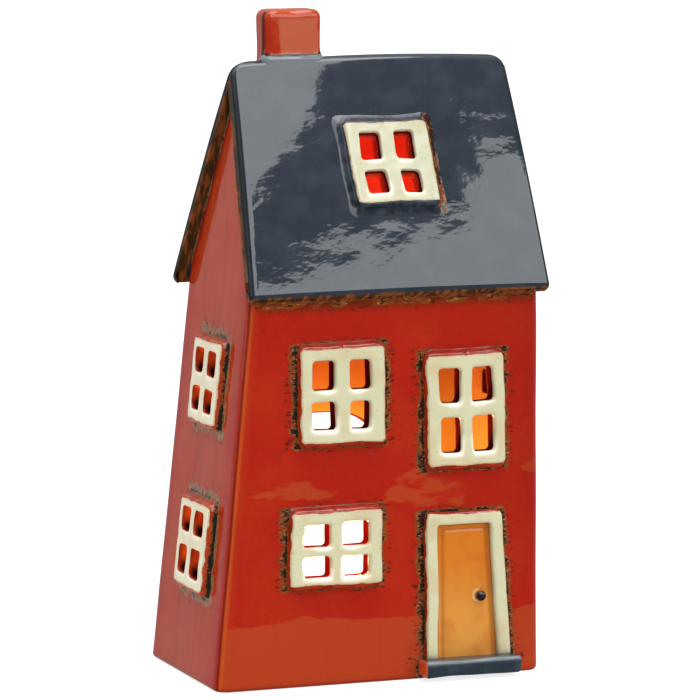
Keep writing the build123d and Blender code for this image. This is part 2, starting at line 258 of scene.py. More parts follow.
# %% [markdown]
# ## Camera
# The picture was taken with a long lens from a little above, turned about twenty
# degrees round the left corner. These values were found by fitting the house's
# corners; the small shift only puts the house where it stands in the frame.

# %% Camera
CAMERA_AZIMUTH = math.radians(20.512)
CAMERA_ELEVATION = math.radians(7.680)
CAMERA_DISTANCE = 1.66518
CAMERA_TARGET = (-0.001, 0.0, 0.105)
CAMERA_LENS = 253.0
FRAME_PIXELS = 700.0
AXIS_X, AXIS_Y = 340.46, 357.87

camera = bpy.data.objects.new("camera", bpy.data.cameras.new("camera"))
towards_camera = Vector((-math.sin(CAMERA_AZIMUTH) * math.cos(CAMERA_ELEVATION),
                         -math.cos(CAMERA_AZIMUTH) * math.cos(CAMERA_ELEVATION),
                         math.sin(CAMERA_ELEVATION)))
camera.location = Vector(CAMERA_TARGET) + towards_camera * CAMERA_DISTANCE
camera.rotation_euler = towards_camera.to_track_quat("Z", "Y").to_euler()
camera.data.sensor_width = 36.0
camera.data.lens = CAMERA_LENS
camera.data.shift_x = (FRAME_PIXELS / 2 - AXIS_X) / FRAME_PIXELS
camera.data.shift_y = (AXIS_Y - FRAME_PIXELS / 2) / FRAME_PIXELS
scene.collection.objects.link(camera)
scene.camera = camera
scene.view_settings.view_transform = "Standard"
print("camera at", tuple(round(v, 3) for v in camera.location))

# %% [markdown]
# ## Shader helpers
# A glaze is layers of colour mixed by masks. These short helpers add one node
# each and hand back its output, so a finish reads as a list of layers. Patterns
# use Object coordinates, and the marks stored on the meshes tell the shader how
# far a point is from an edge or a frame.


# %% Node helpers
def node(tree, kind, sockets=None, out=0, **settings):
    """Adds a node, sets or links its sockets and returns one of its outputs."""
    made = tree.nodes.new("ShaderNode" + kind)
    for key, value in settings.items():
        setattr(made, key, value)
    for key, value in (sockets or {}).items():
        if isinstance(value, bpy.types.NodeSocket):
            tree.links.new(value, made.inputs[key])
        else:
            made.inputs[key].default_value = value
    return made.outputs[out]


def mottle(tree, size, detail=2.0, stretch=(1, 1, 1), shift=0.0, rough=0.5):
    """Noise from 0 to 1 whose patches are about `size` mm across."""
    place = node(tree, "TexCoord", out="Object")
    scale = tuple(1 / (size * MM * s) for s in stretch)
    turned = node(tree, "Mapping", {"Vector": place, "Scale": scale, "Location": (shift,) * 3})
    return node(tree, "TexNoise", {"Vector": turned, "Scale": 1.0, "Detail": detail,
                                   "Roughness": rough})


def mark(tree, name):
    """The number stored on the mesh's points under that name."""
    return node(tree, "Attribute", out="Fac", attribute_name=name)


def ramp(tree, value, low, high):
    """Smooth step from 0 at low to 1 at high."""
    return node(tree, "MapRange", {"Value": value, "From Min": low, "From Max": high},
                interpolation_type="SMOOTHSTEP")


def maths(tree, operation, a, b=0.0):
    """Math node with that operation on a and b."""
    return node(tree, "Math", {0: a, 1: b}, operation=operation)


def times(tree, a, b):
    """The product a times b."""
    return maths(tree, "MULTIPLY", a, b)


def plus(tree, a, b):
    """The sum a + b."""
    return maths(tree, "ADD", a, b)


def less(tree, a, b):
    """The difference a - b."""
    return maths(tree, "SUBTRACT", a, b)


def most(tree, a, b):
    """The larger of a and b."""
    return maths(tree, "MAXIMUM", a, b)


def least(tree, a, b):
    """The smaller of a and b."""
    return maths(tree, "MINIMUM", a, b)


def axis(tree, which):
    """Object coordinate 0, 1 or 2 of the point, in metres."""
    return node(tree, "SeparateXYZ", {0: node(tree, "TexCoord", out="Object")}, out=which)


def layer(tree, mask, under, over, share=1.0):
    """Colour `over` laid on colour `under` where the mask is 1, to that share."""
    pick = {0: mask if share == 1.0 else times(tree, mask, share)}
    for index, colour in ((6, under), (7, over)):
        pick[index] = colour if isinstance(colour, bpy.types.NodeSocket) else (*colour, 1.0)
    return node(tree, "Mix", pick, out=2, data_type="RGBA")


def new_finish(name, roughness, ior=1.5):
    """A new material, its node tree and its shader."""
    finish = bpy.data.materials.new(name)
    finish.use_nodes = True
    shader = finish.node_tree.nodes["Principled BSDF"]
    shader.inputs["Roughness"].default_value = roughness
    shader.inputs["IOR"].default_value = ior
    return finish, finish.node_tree, shader


def paint(tree, shader, colour):
    """Leads the finished colour into the shader."""
    tree.links.new(colour, shader.inputs["Base Color"])


def dull(tree, shader, mask):
    """Takes the gloss away where the mask is 1."""
    gloss = times(tree, less(tree, 1.0, mask), 0.5)
    tree.links.new(gloss, shader.inputs["Specular IOR Level"])


def wet_bump(tree, shader, depth, *heights):
    """Adds the heights up and leads them through one Bump, `depth` mm deep."""
    total = heights[0]
    for height in heights[1:]:
        total = plus(tree, total, height)
    bump = node(tree, "Bump", {"Height": total, "Strength": 1.0, "Distance": depth * MM})
    tree.links.new(bump, shader.inputs["Normal"])


# %% [markdown]
# ## Red wall glaze
# Iron red runs off the edges and pools in the flats: deep red in the middle,
# orange along the corners. Lighter red over the front's foot, a band across the
# front and most of each gable is painted reflection. Darker red by the front's
# right corner, under the roof on the gables and along the foot is painted shade,
# and the brown band under the eave is oxide darkened as painted shade. The sides
# of the pane holes are painted shade, lighter on the low windows as painted
# light, and the inside is painted orange as if lit by the candle. Where the
# frames were pressed on, the glaze crawls and leaves a dark brown crust with
# whiskers. The mark `crust` fades from 1 at a frame to 0 a few millimetres away.


# %% Red wall glaze
DEEP_RED = (0.332, 0.0100, 0.0022)
WARM_RED = (0.345, 0.0155, 0.0033)
# Painted reflection: lighter reds where the glaze mirrors bright light, warm on the front, dusty on the
# gables.
REFLECTION_RED = (0.350, 0.044, 0.0098)
GABLE_REFLECTION_RED = (0.36, 0.045, 0.011)
# Dark red for freckles, streaks and the corner line, and also for painted shade.
DARK_RED_AND_SHADE = (0.120, 0.005, 0.0025)
EDGE_ORANGE = (0.55, 0.095, 0.014)
LINE_BROWN = (0.050, 0.010, 0.004)
# Sides of the pane holes: dark red painted shade, and lighter red painted light for the low windows.
REVEAL_SHADE_RED, REVEAL_LIT = (0.105, 0.005, 0.003), (0.36, 0.016, 0.008)
# Inside of the walls: orange glaze painted brighter as lit by the candle, paler ochre low down nearest
# the flame.
INNER_LIT_ORANGE, INNER_LIT_OCHRE = (0.37, 0.116, 0.026), (0.39, 0.195, 0.040)
CRUST_BLACK = (0.018, 0.010, 0.006)
CRUST_AMBER = (0.19, 0.045, 0.009)
CRUST_OCHRE = (0.42, 0.155, 0.032)
TUFT_GREY = (0.22, 0.120, 0.062)
# Brown oxide under the eave, darkened further as painted shade of the roof's overhang.
EAVE_OXIDE_AND_SHADE = (0.080, 0.019, 0.004)
CORNER_LINE = 2.5
FOOT_LIGHT = (0.070, 0.055)
INNER_LIGHT = (0.100, 0.078)


def crusted(tree, colour, strength, stretch=(1, 1, 1), amber=CRUST_AMBER, black_level=1.15):
    """Lays amber patches with ochre flecks where strength is high, then black
    specks: a fine noise is added to the strength and cut at a level."""
    grain = mottle(tree, 1.0, 4.0, stretch, rough=0.7)
    clumps = plus(tree, ramp(tree, mottle(tree, 5.0, 2.0, shift=3.0), 0.34, 0.60), 0.85)
    dense = times(tree, strength, clumps)
    patch = plus(tree, dense, times(tree, less(tree, grain, 0.5), 0.9))
    colour = layer(tree, ramp(tree, patch, 0.45, 0.75), colour, amber)
    ochre = ramp(tree, mottle(tree, 0.8, 2.0, stretch, 7.0), 0.56, 0.66)
    ochre = times(tree, ochre, ramp(tree, patch, 0.60, 0.85))
    colour = layer(tree, ochre, colour, CRUST_OCHRE)
    level = plus(tree, times(tree, dense, 0.42), times(tree, grain, 1.5))
    black = ramp(tree, level, black_level, black_level + 0.11)
    black = times(tree, black, ramp(tree, strength, 0.0, 0.08))
    return layer(tree, black, colour, CRUST_BLACK), black


print("crust colours:", CRUST_AMBER, CRUST_OCHRE)


# %% Wall finish
def wall_finish(name, whisker_stretch, amber, black_level,
                reflection_red, reflection_blur, streak_share, matt, foot_reveal):
    """Clouds, painted reflection, painted shade and corner line of the red, then
    crust, whiskers, eave oxide with painted shade, the pane holes' sides in
    painted shade and light, and last the inside painted orange as candle light."""
    finish, tree, shader = new_finish(name, 0.08)
    clouds = ramp(tree, mottle(tree, 26.0, 3.0), 0.44, 0.66)
    colour = layer(tree, clouds, DEEP_RED, WARM_RED)
    freckles = ramp(tree, mottle(tree, 1.6, 2.0), 0.52, 0.75)
    colour = layer(tree, freckles, colour, DARK_RED_AND_SHADE, 0.25)
    # Painted reflection: lighter red over the front's foot and a band at mid height, and over most of
    # each gable.
    ragged = less(tree, mottle(tree, 9.0, 3.0, (2.4, 2.4, 1.0)), 0.5)
    painted_reflection = plus(tree, mark(tree, "painted_reflection"), times(tree, ragged, 1.9))
    painted_reflection = ramp(tree, painted_reflection, 0.49 - reflection_blur, 0.49 + reflection_blur)
    colour = layer(tree, painted_reflection, colour, reflection_red, 0.75)
    streaks = ramp(tree, mottle(tree, 4.0, 2.0, (1.0, 1.0, 9.0), 5.0), 0.45, 0.75)
    colour = layer(tree, streaks, colour, DARK_RED_AND_SHADE, streak_share)
    corner = mark(tree, "corner")
    glow = times(tree, ramp(tree, corner, -4.5, 0.0), 0.18)
    glow = plus(tree, glow, times(tree, ramp(tree, corner, -1.9, -0.7), 0.50))
    glow = times(tree, glow, ramp(tree, corner, 0.3, -0.3))
    colour = layer(tree, glow, colour, EDGE_ORANGE)
    # Painted shade: darker red by the front's right corner, under the roof on the gables and along the
    # foot.
    colour = layer(tree, mark(tree, "painted_shade"), colour, DARK_RED_AND_SHADE)
    line = ramp(tree, maths(tree, "ABSOLUTE", corner), 0.75, 0.25)
    colour = layer(tree, line, colour, DARK_RED_AND_SHADE, 0.8)
    # Under the eave: brown oxide and painted shade together.
    eave = mark(tree, "eave")
    colour = layer(tree, eave, colour, EAVE_OXIDE_AND_SHADE, 0.75)
    strength = most(tree, mark(tree, "crust"), times(tree, eave, 0.52))
    thread = tuple(1.0 if s <= 1.0 else s * 1.7 for s in whisker_stretch)
    whiskers = ramp(tree, mottle(tree, 0.9, 2.0, thread, 11.0), 0.57, 0.65)
    whiskers = times(tree, whiskers, ramp(tree, strength, 0.0, 0.12))
    colour = layer(tree, whiskers, colour, LINE_BROWN, 0.8)
    colour, black = crusted(tree, colour, strength, whisker_stretch, amber, black_level)
    depth = mark(tree, "depth")
    cut = ramp(tree, depth, 0.5, 0.9)
    height = axis(tree, 2)
    # The pane holes' sides: painted shade, and painted light on the front's low windows below
    # FOOT_LIGHT.
    reveal = layer(tree, ramp(tree, height, *FOOT_LIGHT), REVEAL_SHADE_RED, foot_reveal)
    colour = layer(tree, cut, colour, reveal)
    # Inside: painted candle light, ochre below INNER_LIGHT and orange above.
    inner = layer(tree, ramp(tree, height, *INNER_LIGHT), INNER_LIT_ORANGE, INNER_LIT_OCHRE)
    colour = layer(tree, ramp(tree, depth, 3.9, 4.4), colour, inner)
    paint(tree, shader, colour)
    dulled_gloss = times(tree, most(tree, eave, line), 0.7)
    dull(tree, shader, most(tree, most(tree, cut, dulled_gloss), matt))
    wet_bump(tree, shader, 0.10, black,
             mottle(tree, 9.0, 2.0))
    return finish


# The front's painted reflection is warm red with a sharp edge; the gables' is a dusty red that fades
# slowly.
front_glaze = wall_finish("red_glaze_front", (1.9, 1.0, 0.75), CRUST_AMBER, 1.15,
                          REFLECTION_RED, 0.06, 0.05, 0.0, REVEAL_LIT)
side_glaze = wall_finish("red_glaze_side", (1.0, 1.0, 1.7), TUFT_GREY, 1.24,
                         GABLE_REFLECTION_RED, 0.60, 0.22, 0.24, REVEAL_SHADE_RED)
print("wall finishes:", front_glaze.name, side_glaze.name)

# %% [markdown]
# ## Windows first, on paper
# The walls have to be cut where the panes are, so the windows' places come
# before the walls. A wall plane has an origin, a direction across, one up the
# wall and one out of it. Each window gives its centre, size and sideways push,
# and how its maker spaced the panes: border, pane, bar and pane from the left
# and from the top.


# %% Wall planes and window spacing
def plane(origin, across, out):
    """Origin, across, up and outward directions of a leaning face."""
    across, out = np.array(across, float), np.array(out, float)
    out /= np.linalg.norm(out)
    return np.array(origin, float), across, np.cross(out, across), out


PLANES = {
    "front": plane((0, HOUSE_FRONT, 0), (1, 0, 0), (0, -WALL_HEIGHT, FRONT_LEAN)),
    "right": plane((HOUSE_RIGHT, 0, 0), (0, 1, 0), (1, 0, 0)),
    "back": plane((0, HOUSE_BACK, 0), (-1, 0, 0), (0, WALL_HEIGHT, BACK_LEAN)),
    "left": plane((HOUSE_LEFT, 0, 0), (0, -1, 0), (-WALL_HEIGHT, 0, LEFT_LEAN)),
    "roof": plane((0, RIDGE_Y, RIDGE_TOP), (1, 0, 0),
                  (0, -math.sin(ROOF_PITCH), math.cos(ROOF_PITCH))),
}
WINDOWS = {
    "front_upper_left_window": ("front", (-13.8, 97.7), (30.6, 34.2), -0.3,
                                (4.6, 8.0, 5.1, 7.3), (5.3, 10.0, 3.9, 9.2)),
    "front_upper_right_window": ("front", (29.95, 90.6), (28.7, 39.8), -0.9,
                                 (5.1, 7.5, 4.2, 7.6), (5.65, 11.6, 4.8, 12.05)),
    "front_lower_window": ("front", (-16.4, 46.6), (33.1, 27.0), 0.4,
                           (5.05, 9.4, 4.0, 9.7), (5.1, 7.6, 3.2, 7.2)),
    "roof_window": ("roof", (9.1, -43.9), (30.0, 31.0), -1.1,
                    (4.6, 7.5, 5.2, 7.0), (4.45, 10.1, 3.75, 8.1)),
    "left_upper_window": ("left", (3.1, 100.0), (27.4, 30.0), 1.2,
                          (4.0, 7.4, 4.5, 7.6), (4.5, 7.9, 4.9, 7.6)),
    "left_lower_window": ("left", (4.6, 45.1), (29.0, 31.7), 1.6,
                          (3.9, 8.0, 4.2, 8.4), (3.9, 8.4, 4.9, 9.1)),
    "right_upper_window": ("right", (-3.1, 100.0), (27.4, 30.0), -1.2,
                           (3.9, 7.6, 4.5, 7.4), (4.5, 7.9, 4.9, 7.6)),
    "right_lower_window": ("right", (-4.6, 45.1), (29.0, 31.7), -1.6,
                           (4.5, 8.4, 4.2, 8.0), (3.9, 8.4, 4.9, 9.1)),
}


def pane_edges(size, columns, rows):
    """Left, right of both columns and bottom, top of both rows of panes."""
    x = np.cumsum(columns)
    y = size[1] - np.cumsum(rows)
    return ((x[0], x[1]), (x[2], x[3])), ((y[3], y[2]), (y[1], y[0]))


def on_window(points, centre, size, push, seed):
    """From a window's own flat coordinates to its wall's: centred, pushed
    sideways in proportion to height, and wobbled as cut by hand."""
    flat = points - np.array(size) / 2
    flat = flat + np.stack([push * flat[..., 1] / size[1], 0 * flat[..., 1]], -1)
    drift = np.stack([waves(points, 24.0, seed), waves(points, 24.0, seed + 1)], -1) * 0.34
    shake = np.stack([waves(points, 8.0, seed + 2), waves(points, 8.0, seed + 3)], -1) * 0.08
    return flat + drift + shake + np.array(centre)


def in_space(flat, height, face):
    """Point of a wall plane at that height above it."""
    origin, across, up, out = PLANES[face]
    return (origin + flat[..., :1] * across + flat[..., 1:2] * up
            + np.asarray(height)[..., None] * out)


print("windows:", len(WINDOWS))

# %% [markdown]
# ## Cutters for the panes
# A pane is a hole right through the wall. Its cutter is a prism with a rounded
# outline, a little wider at the back, because a maker cleans the hole from
# inside with a knife. All the cutters of a wall go into one mesh and are taken
# away with a Boolean, which keeps the wall closed.

# %% Pane cutters
PANE_RADIUS = 1.3
SIDE_POINTS = 12
CUT_OUT = 2.0
CUT_IN = 9.0
CUT_FLARE = 0.4
CUT_SHARP = 38.0


def pane_cutter(face):
    """Prisms through every pane of the windows on one face: the outer ring is
    the pane's outline, the inner one is moved out from the pane's centre."""
    points, quads, caps = [], [], []
    for number, (where, centre, size, push, columns, rows) in enumerate(WINDOWS.values()):
        if where != face:
            continue
        across, up = pane_edges(size, columns, rows)
        for x in across:
            for y in up:
                low, high = np.array((x[0], y[0])), np.array((x[1], y[1]))
                loop = rounded_loop(low - 0.25, high + 0.25, [PANE_RADIUS] * 4, SIDE_POINTS)
                middle = (low + high) / 2
                wide = middle + (loop - middle) * (1 + CUT_FLARE / (high - low))
                rings = [in_space(on_window(ring, centre, size, push, number * 10), height, face)
                         for ring, height in ((loop, np.full(len(loop), CUT_OUT)),
                                              (loop, np.full(len(loop), -0.8)),
                                              (wide, np.full(len(loop), -CUT_IN)))]
                first = sum(len(p) for p in points)
                points.append(np.concatenate(rings))
                quads.append(grid_quads(3, len(loop), ring_columns=True, first=first))
                caps.append(first + np.arange(len(loop))[::-1])
                caps.append(first + 2 * len(loop) + np.arange(len(loop)))
    return mesh_of("cutter_" + face, np.concatenate(points), np.concatenate(quads), caps)


def cut_panes(mesh, face):
    """The mesh less the pane prisms of that face."""
    body = bpy.data.objects.new("uncut", mesh)
    tool = bpy.data.objects.new("tool", pane_cutter(face))
    for thing in (body, tool):
        scene.collection.objects.link(thing)
    cut = body.modifiers.new("panes", "BOOLEAN")
    cut.object = tool
    cut.operation = "DIFFERENCE"
    cut.solver = "MANIFOLD"
    evaluated = body.evaluated_get(bpy.context.evaluated_depsgraph_get())
    result = bpy.data.meshes.new_from_object(evaluated)
    for thing in (body, tool):
        bpy.data.objects.remove(thing)
    return result


def mesh_points(mesh):
    """The mesh's points in millimetres."""
    flat = np.empty(len(mesh.vertices) * 3, np.float32)
    mesh.vertices.foreach_get("co", flat)
    return flat.reshape(-1, 3).astype(float) / MM


# %% [markdown]
# ## Walls
# A wall is one slab between two mitred corners. Its outer skin starts half way
# round one rounded corner, runs straight and ends half way round the next, so
# neighbours share the corner's curve. Each column of points climbs from the
# floor to the sloping underside of the roof, whose height depends on how far
# back the column stands. The inner skin does the same, one wall thickness in.

# %% Wall slabs
FOOT_RADIUS = 1.5
ARC_STEPS = 9
WAVE_HEIGHT = 0.16


def plan_corner(which, z):
    """Corner of the plan at height z: each foot line moves in by its lean."""
    share = z / WALL_HEIGHT
    left = HOUSE_LEFT + LEFT_LEAN * share
    right = HOUSE_RIGHT + 0 * share
    front = HOUSE_FRONT + FRONT_LEAN * share
    back = HOUSE_BACK - BACK_LEAN * share
    x = (left, right, right, left)[which % 4]
    y = (front, front, back, back)[which % 4]
    return np.stack([x, y], -1)


def roof_underside(y):
    """Height of the roof's underside above a point y from front to back."""
    return ATTIC_APEX - np.abs(y - RIDGE_Y) * SLOPE


def side_frame(side, z):
    """Start corner, direction, inward direction and length of a wall at z."""
    start, end = plan_corner(side, z), plan_corner(side + 1, z)
    length = np.linalg.norm(end - start, axis=-1)
    along = (end - start) / length[..., None]
    inward = np.stack([-along[..., 1], along[..., 0]], -1)
    return start, along, inward, length


def outer_columns(count):
    """For each column: its place along the wall as a + b * length, its depth
    behind the wall line, and its outward direction along and in."""
    r = CORNER_RADIUS
    turn = np.pi / 4 * (1 + np.linspace(0, 1, ARC_STEPS) ** 1.4)
    share = np.linspace(0, 1, count)[1:-1]
    flat = 0 * share
    place = np.concatenate([r * (1 - np.cos(turn)), r * (1 - 2 * share),
                            -r * (1 - np.cos(turn[::-1]))])
    part = np.concatenate([0 * turn, share, 0 * turn + 1])
    depth = np.concatenate([r * (1 - np.sin(turn)), flat, r * (1 - np.sin(turn[::-1]))])
    out_along = np.concatenate([-np.cos(turn), flat, np.cos(turn[::-1])])
    out_in = np.concatenate([-np.sin(turn), flat - 1, -np.sin(turn[::-1])])
    return place, part, depth, out_along, out_in


def stand_column(side, z, place, part, depth):
    """Plan point of a column at height z, from its place, share and depth."""
    start, along, inward, length = side_frame(side, z)
    reach = place + part * length
    return start + reach[..., None] * along + depth[..., None] * inward


def climb(side, heights, place, part, depth):
    """Rows of a skin: the foot rows keep their heights, and the rest share the
    way up to the roof, found by going back and forth between height and y."""
    top = np.full(len(place), WALL_HEIGHT)
    for _ in range(8):
        top = roof_underside(stand_column(side, top, place, part, depth)[..., 1])
    foot = np.array([0.0, 0.12, 0.40, 0.85])
    low = np.broadcast_to(foot[:, None], (len(foot), len(place)))
    z = np.concatenate([low, FOOT_RADIUS + (top - FOOT_RADIUS) * heights[:, None]])
    place, part, depth = (np.broadcast_to(v, z.shape) for v in (place, part, depth))
    return stand_column(side, z, place, part, depth), z


print("roof underside at the ridge:", round(float(roof_underside(RIDGE_Y)), 2))


# %% One closed slab
def wall_slab(side, count, rows):
    """Closed slab: outer skin up, inner skin down, and mitred end faces."""
    place, part, depth, out_along, out_in = outer_columns(count)
    heights = np.linspace(0, 1, rows)
    flat, z = climb(side, heights, place, part, depth)
    _, along, inward, _ = side_frame(side, z)
    out = out_along[:, None] * along + out_in[:, None] * inward
    outer = np.concatenate([flat, z[..., None]], -1)
    calm = np.clip(z / 12, 0, 1) * np.clip((WALL_HEIGHT - z) / 8, 0, 1)
    swell = WAVE_HEIGHT * waves(outer, 42.0, 5) * np.maximum(calm, 0)
    swell = swell - edge_drop(z, FOOT_RADIUS)
    outer[..., :2] += swell[..., None] * out
    share = np.linspace(0, 1, len(place))
    thick = WALL_THICKNESS
    flat, z = climb(side, heights, thick * (1 - 2 * share), share, np.full(len(share), thick))
    inner = np.concatenate([flat, z[..., None]], -1)
    skin = np.concatenate([outer, inner[::-1]])
    n, m = skin.shape[:2]
    quads = grid_quads(n, m, ring_rows=True)
    k = np.arange(n // 2 - 1)
    strip = np.stack([k, k + 1, n - 2 - k, n - 1 - k], -1) * m
    quads = np.concatenate([quads, strip, (strip + m - 1)[:, ::-1]])
    return skin.reshape(-1, 3), quads


WALL_SIDES = {"front": 0, "right": 1, "back": 2, "left": 3}
print("walls:", sorted(WALL_SIDES), "meeting at corners of radius", CORNER_RADIUS)

# %% [markdown]
# ## Marks on the walls
# The shader needs to know, for each point, how deep it lies behind the outer
# face, how near it is to a frame, to the eave and to a corner. These are simple
# distances, worked out for all points at once after the panes are cut. Crust is
# widest beside a frame, thin above it.

# %% Wall marks
FRONT_CRUST = {"left": 2.3, "right": 1.9, "above": 0.8, "below": 0.8}
GABLE_CRUST = {"left": 0.9, "right": 2.6, "above": 3.0, "below": 2.4}
DOOR_LEFT, DOOR_RIGHT, DOOR_TOP, DOOR_FLARE = 15.4, 42.9, 56.6, 3.8
# Heights of the painted reflection on the front: a lighter band at the foot and one at mid height.
FOOT_REFLECTION, MIDDLE_REFLECTION = 20.0, 66.0
STEP_LOW, STEP_HIGH = (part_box("doorstep")[k] / MM for k in (0, 1))


def crust_round(flat, low, high, reach=FRONT_CRUST):
    """1 at a frame's outline, falling to 0 with the distance sideways, above
    or below measured in reaches."""
    side = np.maximum((low[0] - flat[:, 0]) / reach["left"], (flat[:, 0] - high[0]) / reach["right"])
    climb = np.maximum((flat[:, 1] - high[1]) / reach["above"], (low[1] - flat[:, 1]) / reach["below"])
    far = np.hypot(np.maximum(side, 0), np.maximum(climb, 0))
    return np.clip(1 - far / 2.2, 0, 1) ** 1.3


def past_corner(travel, length, face):
    """Distance past the line along the front left corner, positive on the gable
    and negative on the front wall, which meets the gable half way round."""
    half_way = CORNER_RADIUS * (1 - math.sqrt(0.5))
    if face == "left":
        return np.clip(length - travel - CORNER_LINE, -30, 30)
    if face == "front":
        return np.clip(2 * half_way - CORNER_LINE - travel, -30, 30)
    return np.full(len(travel), 30.0)


print("step from", tuple(round(v, 1) for v in STEP_LOW))


# %% Marks of one wall
def wall_marks(points, face):
    """Depth, crust, eave, painted shade, painted reflection and corner marks of a wall's points."""
    start, along, inward, length = side_frame(WALL_SIDES[face], points[:, 2])
    offset = points[:, :2] - start
    travel = np.einsum("ij,ij->i", offset, along)
    depth = np.einsum("ij,ij->i", offset, inward)
    from_corner = np.minimum(travel, length - travel)
    near = np.maximum(CORNER_RADIUS - from_corner, 0)
    round_depth = CORNER_RADIUS - np.hypot(near, CORNER_RADIUS - np.minimum(depth, CORNER_RADIUS))
    depth = np.where(from_corner < CORNER_RADIUS, np.minimum(depth, round_depth + 0.4), depth)
    origin, across, up, _ = PLANES[face]
    flat = np.stack([(points - origin) @ across, (points - origin) @ up], -1)
    reach = FRONT_CRUST if face == "front" else GABLE_CRUST
    crust = np.zeros(len(points))
    for where, centre, size, _, _, _ in WINDOWS.values():
        if where == face:
            half = np.array(size) / 2
            crust = np.maximum(crust, crust_round(flat, centre - half, centre + half, reach))
    if face == "front":
        lean = DOOR_FLARE * (1 - flat[:, 1] / DOOR_TOP)
        door = np.stack([np.where(flat[:, 0] > 30, flat[:, 0] - lean, flat[:, 0]), flat[:, 1]], -1)
        crust = np.maximum(crust, crust_round(door, (DOOR_LEFT, 0), (DOOR_RIGHT, DOOR_TOP)))
        step = (STEP_LOW.x, STEP_LOW.z), (STEP_HIGH.x, STEP_HIGH.z)
        crust = np.maximum(crust, 0.8 * crust_round(flat, *step))
    below_roof = roof_underside(points[:, 1]) - points[:, 2]
    # Eave mark: the brown oxide band under the roof, which also carries its painted shade.
    eave = np.clip(1.5 - below_roof / (2.6 if face in ("front", "back") else 3.2), 0, 1)
    # Painted shade mark: near the front's right corner, on the gables just under the roof, and at the
    # very foot.
    painted_shade = np.exp(-np.maximum(from_corner - CORNER_RADIUS, 0) / 7.0)
    painted_shade = painted_shade * (0.28 if face == "front" else 0.12)
    if face == "front":
        painted_shade = np.where(travel < length / 2, 0.0, painted_shade * np.clip(points[:, 2] / 60, 0, 1))
    else:
        painted_shade = np.maximum(painted_shade, 0.6 * np.exp(-np.maximum(below_roof, 0) / 6.0))
    painted_shade = np.maximum(painted_shade, 0.7 * np.exp(-((points[:, 2] / 1.1) ** 2)))
    # Painted reflection mark: the front's foot and mid height band; on the gables all but near corners
    # and roof.
    foot = 1 - np.abs(points[:, 2] - FOOT_REFLECTION) / FOOT_REFLECTION
    painted_reflection = np.where(points[:, 2] < FOOT_REFLECTION, 0.9, np.clip(0.9 + foot * 3.2 - 3.2, 0, 1))
    painted_reflection = np.maximum(painted_reflection, 0.36 * np.exp(-(((points[:, 2] - MIDDLE_REFLECTION) / 9.0) ** 2)))
    if face in ("left", "right"):
        painted_reflection = np.clip((from_corner - 3.0) / 12.0, 0, 1) * np.clip((below_roof - 5) / 4, 0, 1)
    return {"depth": depth, "crust": crust, "eave": eave, "painted_shade": painted_shade, "painted_reflection": painted_reflection,
            "corner": past_corner(travel, length, face)}


def lay_wall(face, node_name, count, rows, finish):
    """Builds a wall, cuts its panes and marks what is left."""
    points, quads = wall_slab(WALL_SIDES[face], count, rows)
    mesh = cut_panes(mesh_of(node_name + "_slab", points, quads), face)
    write_marks(mesh, wall_marks(mesh_points(mesh), face))
    soften(mesh, CUT_SHARP)
    return lay_piece("glazed_" + node_name, mesh, finish, "house", "wall_glaze", node_name)


lay_wall("front", "front_wall", 96, 112, front_glaze)
lay_wall("left", "left_gable", 66, 120, side_glaze)
lay_wall("right", "right_gable", 66, 120, side_glaze)

# %% [markdown]
# ## Back wall
# The back has a tall arched opening for the tealight. Here the slab is a set of
# rings between the opening's outline and the wall's own outline, so the edge of
# the opening can be rounded by the same quarter-round as every other edge.

# %% Back wall
OPENING_CENTRE, OPENING_WIDTH = 0.0, 54.0
OPENING_FOOT, OPENING_TOP, OPENING_ARCH = 6.0, 82.0, 20.0
OPENING_EDGE = 1.5
RING_SHARES = np.array([0, 0.012, 0.035, 0.07, 0.12, 0.2, 0.3, 0.42, 0.55, 0.68, 0.8,
                        0.86, 0.89, 0.92, 0.95, 0.975, 1.0])


def wall_outline(flat_loop, inset):
    """Moves points of the unit square's outline to the back wall's outline as
    seen in plan and height, one inset in from its corners."""
    share, height = flat_loop[:, 0], flat_loop[:, 1]
    r = CORNER_RADIUS
    z = np.full(len(share), 0.0)
    for _ in range(8):
        _, _, _, length = side_frame(2, z)
        if inset:
            place, part, depth = inset * (1 - 2 * share), share, np.full(len(share), inset)
        else:
            reach = share * length
            edge = np.clip(np.minimum(reach, length - reach), r * (1 - math.sqrt(0.5)), r)
            place, part = np.where(share < 0.5, edge, -edge), np.where(share < 0.5, 0.0, 1.0)
            middle = (reach > r) & (reach < length - r)
            place = np.where(middle, reach, place)
            part = np.where(middle, 0.0, part)
            depth = r - np.sqrt(np.maximum(r**2 - (r - edge) ** 2, 0))
        plan = stand_column(2, z, place, part, depth)
        z = height * roof_underside(plan[:, 1])
    return np.concatenate([plan, z[:, None]], -1)


def round_corners(points):
    """Lays points of the back wall on its outer face: flat, and within one
    radius of a corner on the corner's circle, r - sqrt(r^2 - (r - x)^2) deep."""
    r = CORNER_RADIUS
    start, along, inward, length = side_frame(2, points[..., 2])
    travel = np.einsum("...i,...i", points[..., :2] - start, along)
    inset = np.maximum(r - np.minimum(travel, length - travel), 0)
    depth = r - np.sqrt(np.maximum(r**2 - inset**2, 0))
    plan = start + travel[..., None] * along + depth[..., None] * inward
    return np.concatenate([plan, points[..., 2:]], -1)


